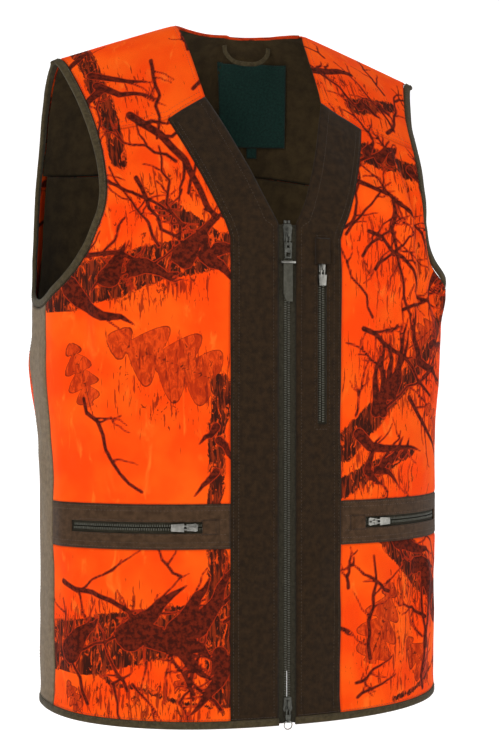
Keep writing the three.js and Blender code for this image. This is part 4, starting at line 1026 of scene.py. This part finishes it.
# ---- main zip --------------------------------------------------------------------------
# Two woven tapes with a moulded tooth every few millimetres, each a rounded block that
# narrows towards its tip. The two rows meet at the front centre.
TAPE = plain_cloth("zip_tape", srgb(38, 35, 26), srgb(60, 57, 44), 1700, 0.0002, 0.05, 300.0)
def plain_metal(name, colour, roughness, metallic=1.0, coat=0.0):
    made, tree, shader = new_material(name, roughness, metallic)
    place = node(tree, "ShaderNodeTexCoord").outputs["Object"]
    worn = noise(tree, place, 240.0, 4.0, 0.6)
    scuff = noise(tree, stretch(tree, place, 900.0, 900.0, 2400.0), 1.0, 3.0)
    light = tuple(min(1, v * 1.5 + 0.02) for v in colour[:3]) + (1.0,)
    colour = blend(tree, ramp(tree, worn, 0.35, 0.8), colour, light)
    tree.links.new(colour, shader.inputs["Base Color"])
    rough = maths(tree, "MULTIPLY_ADD", scuff, 0.25, roughness - 0.1)
    tree.links.new(rough, shader.inputs["Roughness"])
    shader.inputs["Coat Weight"].default_value = coat
    bump = node(tree, "ShaderNodeBump", inputs={"Height": worn, "Distance": 0.00006, "Strength": 0.5})
    tree.links.new(bump.outputs[0], shader.inputs["Normal"])
    return made


COIL = plain_metal("coil_plastic", srgb(58, 57, 45), 0.5, 0.0, 0.1)
PITCH, TOOTH_OFF = 0.0024, 0.00185
TAPE_THICK, SLIT = 0.0006, 0.0004


def made_tooth():
    bpy.ops.object.select_all(action="DESELECT")
    bpy.ops.mesh.primitive_cube_add(size=1)
    obj = bpy.context.object
    obj.data.transform(Matrix.Diagonal((0.0026, 0.0023, 0.00145, 1)))
    bpy.ops.object.mode_set(mode="EDIT")
    bpy.ops.mesh.select_all(action="SELECT")
    bpy.ops.mesh.bevel(offset=0.00035, segments=2, affect="EDGES")
    bpy.ops.object.mode_set(mode="OBJECT")
    points = np.array([v.co for v in obj.data.vertices])
    faces = [tuple(p.vertices) for p in obj.data.polygons]
    bpy.data.objects.remove(obj)
    return points, faces


TOOTH, TOOTH_FACES = made_tooth()
TOOTH[:, 2] *= 1 - 0.3 * smooth((TOOTH[:, 0] - 0.0001) / 0.0008)
def many(name, points, faces, frames, material):
    """One mesh of the same piece set at many 4 x 4 places."""
    frames = np.asarray(frames)
    pts = np.einsum("kij,nj->kni", frames[:, :3, :3], points) + frames[:, None, :3, 3]
    n = len(points)
    all_faces = [tuple(v + k * n for v in f) for k in range(len(frames)) for f in faces]
    return mesh_object(name, pts.reshape(-1, 3), all_faces, material)


def teeth_piece(name, frames, node_name):
    obj = many(name, TOOTH, TOOTH_FACES, frames, COIL)
    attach(obj, "root")
    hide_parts(node_name)


def straight_teeth(name, node_name, x0, y, low, high, sides, turn=0.0):
    """Rows of teeth up a straight zip, one row per side, half a pitch apart."""
    frames = []
    spin = np.array(Matrix.Rotation(turn, 4, "Z"))
    for s in sides:
        z = low + (PITCH / 4 if s > 0 else PITCH * 0.75)
        while z < high:
            place = np.diag((s, s, 1.0, 1.0)).astype(float)
            place[:3, 3] = (s * TOOTH_OFF, 0, 0)
            place = spin @ place
            place[:3, 3] += (x0, y, z)
            frames.append(place)
            z += PITCH
    teeth_piece(name, frames, node_name)


def plate(name, place, us, vs, node_name, hole=None, ridge=None):
    """A woven tape laid in its own plane: place(u, v, out) gives points in metres."""
    u, v = np.meshgrid(us, vs, indexing="ij")
    top = place(u, v, TAPE_THICK / 2 + ridge(u, v))
    low = place(u, v, -TAPE_THICK / 2 + 0 * u)
    nu, nv = u.shape[0] - 1, u.shape[1] - 1
    cells = np.ones((nu, nv), bool) if hole is None else ~hole(centre_of(u), centre_of(v))
    count = (nu + 1) * (nv + 1)
    faces = []
    for i, j in zip(*np.nonzero(cells)):
        first, second = int(i * (nv + 1) + j), int((i + 1) * (nv + 1) + j)
        q = [first, second, second + 1, first + 1]
        faces.append(tuple(q))
        faces.append(tuple(k + count for k in reversed(q)))
        for (di, dj), (a, b) in (((0, -1), (0, 1)), ((1, 0), (1, 2)), ((0, 1), (2, 3)), ((-1, 0), (3, 0))):
            if not (0 <= i + di < nu and 0 <= j + dj < nv and cells[i + di, j + dj]):
                faces.append((q[a] + count, q[b] + count, q[b], q[a]))
    obj = mesh_object(name, np.concatenate([top.reshape(-1, 3), low.reshape(-1, 3)]), faces, TAPE)
    tidy = bmesh.new()
    tidy.from_mesh(obj.data)
    bmesh.ops.delete(tidy, geom=[w for w in tidy.verts if not w.link_faces], context="VERTS")
    bmesh.ops.recalc_face_normals(tidy, faces=tidy.faces)
    tidy.to_mesh(obj.data)
    tidy.free()
    uv = obj.data.uv_layers.new(name="cloth")
    for item in obj.data.loops:
        p = obj.data.vertices[item.vertex_index].co
        uv.data[item.index].uv = (p.x + p.y * 0.7, p.z)
    width, length = float(us[-1] - us[0]), float(vs[-1] - vs[0])
    solid = float((cells * np.outer(np.diff(us), np.diff(vs))).sum())
    if hole is None:
        solid = width * length
    declare(obj, ((max(NARROW_WIDTH, round(width, 4)), round(length, 4)), solid), (node_name,))


def fan(low, high, inner=(), step=0.006):
    """Even marks from low to high, with some exact ones between."""
    even = np.linspace(low, high, max(2, int((high - low) / step) + 1))
    marks = set(np.round(even, 6)) | {round(v, 6) for v in inner}
    marks = sorted(marks)
    return np.array([marks[0]] + [m for k, m in enumerate(marks[1:], 1) if m - marks[k - 1] > 1e-4])


def cord(off):
    """The raised cord along a tape, some way off the zip's middle."""
    return 0.0005 * np.exp(-((np.abs(off) - 0.0046) / 0.0007) ** 2)


for hand, side in HANDS:
    lo, hi = box(f"{hand}_zip_teeth")
    straight_teeth(f"{hand}_main_teeth", f"{hand}_zip_teeth", 0.0, (lo[1] + hi[1]) / 2, lo[2],
                   hi[2] - 0.0008, (side,))
    lo, hi = box(f"{hand}_zip_tape")
    plate(f"{hand}_main_tape",
          lambda u, v, out, y=(lo[1] + hi[1]) / 2: np.stack([u, y - out, v + 0 * u], -1),
          fan(min(lo[0], 0.0003 * side), max(hi[0], 0.0003 * side), step=0.0007),
          fan(lo[2] - 0.008, hi[2]), f"{hand}_zip_tape", ridge=lambda u, v: cord(u))

# ---- chest zip -------------------------------------------------------------------------
# A short zip in a flat window in the wearer's left placket, turned a little with the chest.
CHEST_TURN = 0.0504
HALF_TAPE = 0.010
lo, hi = box("chest_zip_tape")
mid, half_length = (lo + hi) / 2, (hi[2] - lo[2]) / 2
window = half_length - 0.0055


def on_chest(u, v, out):
    c, s = math.cos(CHEST_TURN), math.sin(CHEST_TURN)
    return np.stack([mid[0] + u * c + out * s, mid[1] + u * s - out * c, mid[2] + v + 0 * u], -1)


plate("chest_tape", on_chest, fan(-HALF_TAPE, HALF_TAPE, (-SLIT, SLIT), 0.001),
      fan(-half_length, half_length, (-window, window)), "chest_zip_tape",
      hole=lambda u, v: (np.abs(u) < SLIT) & (np.abs(v) < window), ridge=lambda u, v: cord(u))
lo, hi = box("chest_zip_teeth")
straight_teeth("chest_teeth", "chest_zip_teeth", (lo[0] + hi[0]) / 2, (lo[1] + hi[1]) / 2, lo[2],
               hi[2] - 0.0008, (-1, 1), CHEST_TURN)

# ---- hand pocket zips ------------------------------------------------------------------
# The same tape and teeth, following the body round an arc through each pocket band.
ZIP_X, ZIP_Y, ZIP_RADIUS = 0.0609, 0.0438, 0.1762 - 0.0023
ZIP_Z = (POCKET_Z - NECK_Z) / 1000
for hand, side in HANDS:
    lo, hi = box(f"{hand}_pocket_teeth")
    ends = sorted((abs(lo[0]), abs(hi[0])))
    run0, run1 = (math.asin((x - ZIP_X) / ZIP_RADIUS) * ZIP_RADIUS for x in ends)

    def on_arc(u, v, out, side=side):
        turn, r = u / ZIP_RADIUS, ZIP_RADIUS + out
        return np.stack([side * (ZIP_X + r * np.sin(turn)), ZIP_Y - r * np.cos(turn), ZIP_Z + v + 0 * u], -1)

    plate(f"{hand}_hand_tape", on_arc, fan(run0 - 0.005, run1 + 0.005, (run0, run1)),
          fan(-0.0098, 0.0098, (-SLIT, SLIT), 0.001), f"{hand}_pocket_tape",
          hole=lambda u, v: (np.abs(v) < SLIT) & (u > run0) & (u < run1), ridge=lambda u, v: cord(v))
    frames = []
    for s in (-1, 1):
        run = run0 + (PITCH / 2 if s > 0 else PITCH)
        while run < run1 - 0.001:
            t = run / ZIP_RADIUS
            place = np.eye(4)
            place[:3, 0] = (0, 0, s)
            place[:3, 1] = (-side * math.sin(t), math.cos(t), 0)
            place[:3, 2] = np.cross(place[:3, 0], place[:3, 1])
            place[:3, 3] = on_arc(np.array(run), np.array(0.0), np.array(0.0)) + (0, 0, s * TOOTH_OFF)
            frames.append(place)
            run += PITCH
    teeth_piece(f"{hand}_hand_teeth", frames, f"{hand}_pocket_teeth")

# ---- sliders, pulls, stops and the strap -----------------------------------------------
# Cast metal with softened edges; the strap is moulded and hangs in a wire clip.
DARK_METAL = plain_metal("gunmetal", srgb(76, 76, 70), 0.42, 0.85)
PALE_METAL = plain_metal("satin_metal", srgb(132, 130, 124), 0.36, 1.0)
RUBBER = plain_metal("moulded_strap", srgb(48, 46, 33), 0.6, 0.0)
FINISHES = {"dark_metal": DARK_METAL, "pale_metal": PALE_METAL, "strap": RUBBER}
FINE_EDGE, STRAP_EDGE = 0.0003, 0.0006
RING_RADIUS, WIRE_RADIUS = 0.0042, 0.00055


def place_hard(obj, body, node_name):
    bpy.ops.object.shade_smooth_by_angle(angle=math.radians(40))
    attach(obj, body)
    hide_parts(node_name)


def softened(name, node_name, slot, body):
    """A merged copy of a hard node with its edges rounded off."""
    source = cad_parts[node_name]
    mesh = source.data.copy()
    mesh.transform(source.matrix_world)
    mesh.materials.clear()
    mesh.materials.append(FINISHES[slot])
    obj = bpy.data.objects.new(name, mesh)
    bpy.context.scene.collection.objects.link(obj)
    tidy = bmesh.new()
    tidy.from_mesh(mesh)
    bmesh.ops.remove_doubles(tidy, verts=tidy.verts, dist=1e-6)
    bmesh.ops.dissolve_limit(tidy, angle_limit=0.02, verts=tidy.verts, edges=tidy.edges)
    tidy.to_mesh(mesh)
    tidy.free()
    bpy.ops.object.select_all(action="DESELECT")
    bpy.context.view_layer.objects.active = obj
    obj.select_set(True)
    bevel = obj.modifiers.new("edge", "BEVEL")
    bevel.width = STRAP_EDGE if slot == "strap" else FINE_EDGE
    bevel.segments = 3
    bevel.limit_method = "ANGLE"
    bevel.angle_limit = math.radians(35)
    bpy.ops.object.modifier_apply(modifier="edge")
    place_hard(obj, body, node_name)


for row in (("main_slider_body", "top_slider", "dark_metal", "main_slider"),
            ("main_slider_link", "slider_link", "dark_metal", "main_link"),
            ("main_strap_puller", "strap_puller", "strap", "main_strap"),
            ("main_strap_clip", "strap_clip", "pale_metal", "main_strap"),
            ("lower_slider_body", "bottom_slider", "dark_metal", "lower_slider"),
            ("lower_slider_tag", "bottom_pull", "dark_metal", "lower_pull"),
            ("chest_slider_body", "chest_slider", "pale_metal", "chest_zip_slider"),
            ("chest_slider_tab", "chest_pull", "pale_metal", "chest_zip_pull"),
            ("right_hand_slider_body", "right_pocket_slider", "pale_metal", "right_hand_slider"),
            ("right_hand_tab", "right_pocket_pull", "pale_metal", "right_hand_pull"),
            ("left_hand_slider_body", "left_pocket_slider", "pale_metal", "left_hand_slider"),
            ("left_hand_tab", "left_pocket_pull", "pale_metal", "left_hand_pull"),
            ("right_stop", "right_top_stop", "dark_metal", "root"),
            ("left_stop", "left_top_stop", "dark_metal", "root")):
    softened(*row)

lo, hi = box("pull_ring")
bpy.ops.object.select_all(action="DESELECT")
bpy.ops.mesh.primitive_torus_add(major_radius=RING_RADIUS, minor_radius=WIRE_RADIUS,
                                 major_segments=48, minor_segments=14)
ring = bpy.context.object
ring.name = "lower_ring_wire"
ring.data.transform(Matrix.Translation((lo + hi) / 2) @ Matrix.Rotation(math.pi / 2, 4, "X"))
ring.data.materials.append(PALE_METAL)
place_hard(ring, "lower_ring", "pull_ring")

# ---- zip garages -----------------------------------------------------------------------
# Small folded covers of the placket and band cloth over the closed end of each short zip.
def cover(name, node_name, side, lift, open_side, material):
    """A cloth cover standing off the panel by lift mm, sewn on three sides."""
    lo, hi = (p * 1000 for p in box(node_name))
    x0, x1 = sorted((abs(lo[0]), abs(hi[0])))
    h0, h1 = lo[2] + NECK_Z, hi[2] + NECK_Z
    angle, h = spots(constant(float(angle_at(x0))), constant(float(angle_at(x1))), constant(h0),
                     constant(h1), 26, 30, side)
    x = np.abs(surface(angle, h)[..., 0])
    if open_side == "low":
        far = np.minimum(np.minimum(x - x0, x1 - x), h1 - h)
    else:
        far = np.minimum(np.minimum(h - h0, h1 - h), x - x0)
    obj = skin(name, angle, h, 0.9, 0.9, material, 0.2, side, None, lift * smooth((far + 0.15) / 1.9))
    flat = (round((x1 - x0 + 1.6 * lift) / 1000, 4), round((h1 - h0 + 0.9 * lift) / 1000, 4))
    declare(obj, (flat, 1), (node_name,))


cover("chest_garage_cloth", "chest_garage", 1, 4.2, "low", PLACKET)
for hand, side in HANDS:
    cover(f"{hand}_garage_cloth", f"{hand}_pocket_garage", side, 1.0, "out", BAND)

# ---- stitching -------------------------------------------------------------------------
# Lockstitch rows in matching thread beside the seams and bindings: short thread loops, each
# dipping into the cloth at both ends.
THREAD = plain_cloth("thread", srgb(40, 28, 18), srgb(74, 56, 40), 4000, 0.0001, 0.3, 500.0, 0.7)
STITCH_PITCH, STITCH_LENGTH, THREAD_WIDTH = 3.4, 2.5, 0.34
DIP = (-0.25, 0.16, 0.16, -0.25)


def stitches(name, lines, out=0.0):
    """Stitches along lines of angles and heights, as one piece."""
    pts, faces = [], []
    for angle, h in lines:
        angle, h = np.broadcast_arrays(np.asarray(angle, float), np.asarray(h, float))
        p = cloth_points(angle, h, out) * 1000
        run = length_along(p)
        count = int(run[-1] / STITCH_PITCH)
        at = (np.arange(count) + 0.3) * STITCH_PITCH

        def pick(values, where):
            return np.stack([np.interp(where, run, values[:, k]) for k in range(3)], 1)

        spot = [pick(p, at + STITCH_LENGTH * k / 3) for k in range(4)]
        up = pick(normal(angle, h), at)
        across = np.cross(spot[3] - spot[0], up)
        across /= np.maximum(np.linalg.norm(across, axis=1, keepdims=True), 1e-9)
        ring = []
        for k in range(4):
            r = THREAD_WIDTH * (0.5 if k in (1, 2) else 0.3)
            c = spot[k] + up * DIP[k]
            ring += [c + across * r, c + up * r, c - across * r, c - up * r]
        base = sum(len(b) for b in pts)
        pts.append(np.stack(ring, 1).reshape(-1, 3))
        for o in range(base, base + count * 16, 16):
            for k in (0, 4, 8):
                for m in range(4):
                    n = (m + 1) % 4
                    faces.append((o + k + m, o + k + n, o + k + 4 + n, o + k + 4 + m))
            faces.append((o + 3, o + 2, o + 1, o))
            faces.append((o + 12, o + 13, o + 14, o + 15))
    points = np.concatenate(pts) / 1000
    obj = mesh_object(name, points, faces, THREAD)
    place = points[[v for f in faces for v in f]]
    uv = obj.data.uv_layers.new(name="cloth")
    uv.data.foreach_set("uv", place[:, [0, 2]].astype(np.float32).ravel())
    layer(obj, "rim", np.full(len(points), 9.0))
    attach(obj, "root")


def level(angle, h):
    return angle, np.full(len(angle), h)


rows = []
for side in (-1, 1):
    h = np.linspace(12, YOKE_MID - 3, 420)
    rows += [(side * (placket_seam(h) - 0.75), h), (side * (placket_seam(h) - 2.0), h)]
    h = np.linspace(12, V_POINT - 4, 420)
    rows.append((side * (front_edge(h) + 1.4 * smooth((h - 500) / 8)) + side * 0.95, h))
    h = np.linspace(V_POINT + 3, RIDGE - 3, 80)
    rows.append((side * (front_edge(h) + 1.2), h))
    a = np.linspace(float(angle_at(66.0)) + 0.6, 50.4, 160)
    rows += [(side * a, yoke_seam(a) + 2.2), (side * a, yoke_seam(a) + 7.0)]
    a = np.linspace(float(angle_at(62.0)), 81.4, 160)
    rows += [level(side * a, h) for h in (181.6, 186.0, 217.6, 221.8)]
    a = np.linspace(float(angle_at(66.0)), float(angle_at(207.0)), 160)
    rows += [level(side * a, h) for h in (193.6, 208.4)]
    h = np.linspace(12, SIDE_CORNER - 8, 240)
    rows += [(side * (FRONT_SEAM - 0.6 + 0 * h), h), (side * (BACK_SEAM + 0.7 + 0 * h), h)]
    a, h = arm_line(9.6)
    rows.append((side * a[3:-3], h[3:-3]))
h = np.linspace(297, 493, 120)
rows += [(angle_at(x, h), h) for x in (30.0, 46.0)]
x = np.linspace(30, 46, 12)
rows += [level(angle_at(x, z), z) for z in (297.0, 493.0)]
zip_side = float(angle_at(11.0))
around = np.linspace(zip_side, 360 - zip_side, 900)
rows.append((around, hem(around) + 9.4))
a = np.linspace(115, 245, 300)
rows += [level(a, BACK_YOKE + 2.4), level(a, BACK_YOKE + 7.2)]
stitches("shell_stitching", rows)
a, h = arm_line(6.6)
for hand, side in HANDS:
    stitches(f"{hand}_armhole_stitching", [(side * a[2:-2], h[2:-2])], 0.62)
stitches("hem_stitching", [(around, hem(around) + 6.4)], 0.62)

# ---- camera, light and setting -----------------------------------------------------------
# A pale floor and wall, a white sky and three soft boxes: a key from the front left, a fill
# from the front right and one from behind. The camera is level with the vest.
def stage_plane(name, size, place, turn, material):
    bpy.ops.object.select_all(action="DESELECT")
    bpy.ops.mesh.primitive_plane_add(size=size)
    obj = bpy.context.object
    obj.name = name
    obj.data.transform(Matrix.Translation(place) @ Matrix.Rotation(turn, 4, "X"))
    obj.data.materials.append(material)
    return obj


PAPER, _, paper_shader = new_material("paper", 0.9)
paper_shader.inputs["Base Color"].default_value = (0.9, 0.9, 0.9, 1)
paper_shader.inputs["Emission Color"].default_value = (1, 1, 1, 1)
paper_shader.inputs["Emission Strength"].default_value = 0.42
stage_plane("floor", 14, (0, 0, -0.86), 0, PAPER)
stage_plane("wall", 14, (0, 3.2, 0), math.pi / 2, PAPER)

world = bpy.data.worlds.new("studio")
world.use_nodes = True
sky = world.node_tree.nodes["Background"]
sky.inputs[0].default_value = (1, 1, 1, 1)
seen = node(world.node_tree, "ShaderNodeLightPath").outputs["Is Camera Ray"]
world.node_tree.links.new(maths(world.node_tree, "MULTIPLY_ADD", seen, 0.7, 0.3), sky.inputs[1])
bpy.context.scene.world = world


def soft_box(name, place, target, size, power):
    light = bpy.data.lights.new(name, "AREA")
    light.shape = "RECTANGLE"
    light.size, light.size_y = size
    light.energy = power
    obj = bpy.data.objects.new(name, light)
    obj.location = place
    obj.rotation_euler = (Vector(target) - Vector(place)).to_track_quat("-Z", "Y").to_euler()
    bpy.context.scene.collection.objects.link(obj)


soft_box("key", (-1.9, -2.2, 1.0), (0, 0, -0.35), (1.0, 1.5), 48)
soft_box("fill", (1.9, -2.0, 0.1), (0, 0, -0.35), (1.6, 2.0), 17)
soft_box("back_light", (0.6, 2.2, 1.6), (0, 0, -0.3), (2.0, 1.2), 30)

lens = bpy.data.cameras.new("camera")
lens.lens = 76.36
lens.sensor_width = 36
lens.sensor_fit = "AUTO"
lens.shift_x = 0.0129
lens.shift_y = 0.0019
camera = bpy.data.objects.new("camera", lens)
camera.location = (-0.6006, -1.6235, -0.377)
camera.rotation_euler = (math.pi / 2, 0, math.radians(-20.3))
bpy.context.scene.collection.objects.link(camera)
bpy.context.scene.camera = camera
bpy.context.scene.view_settings.view_transform = "Standard"
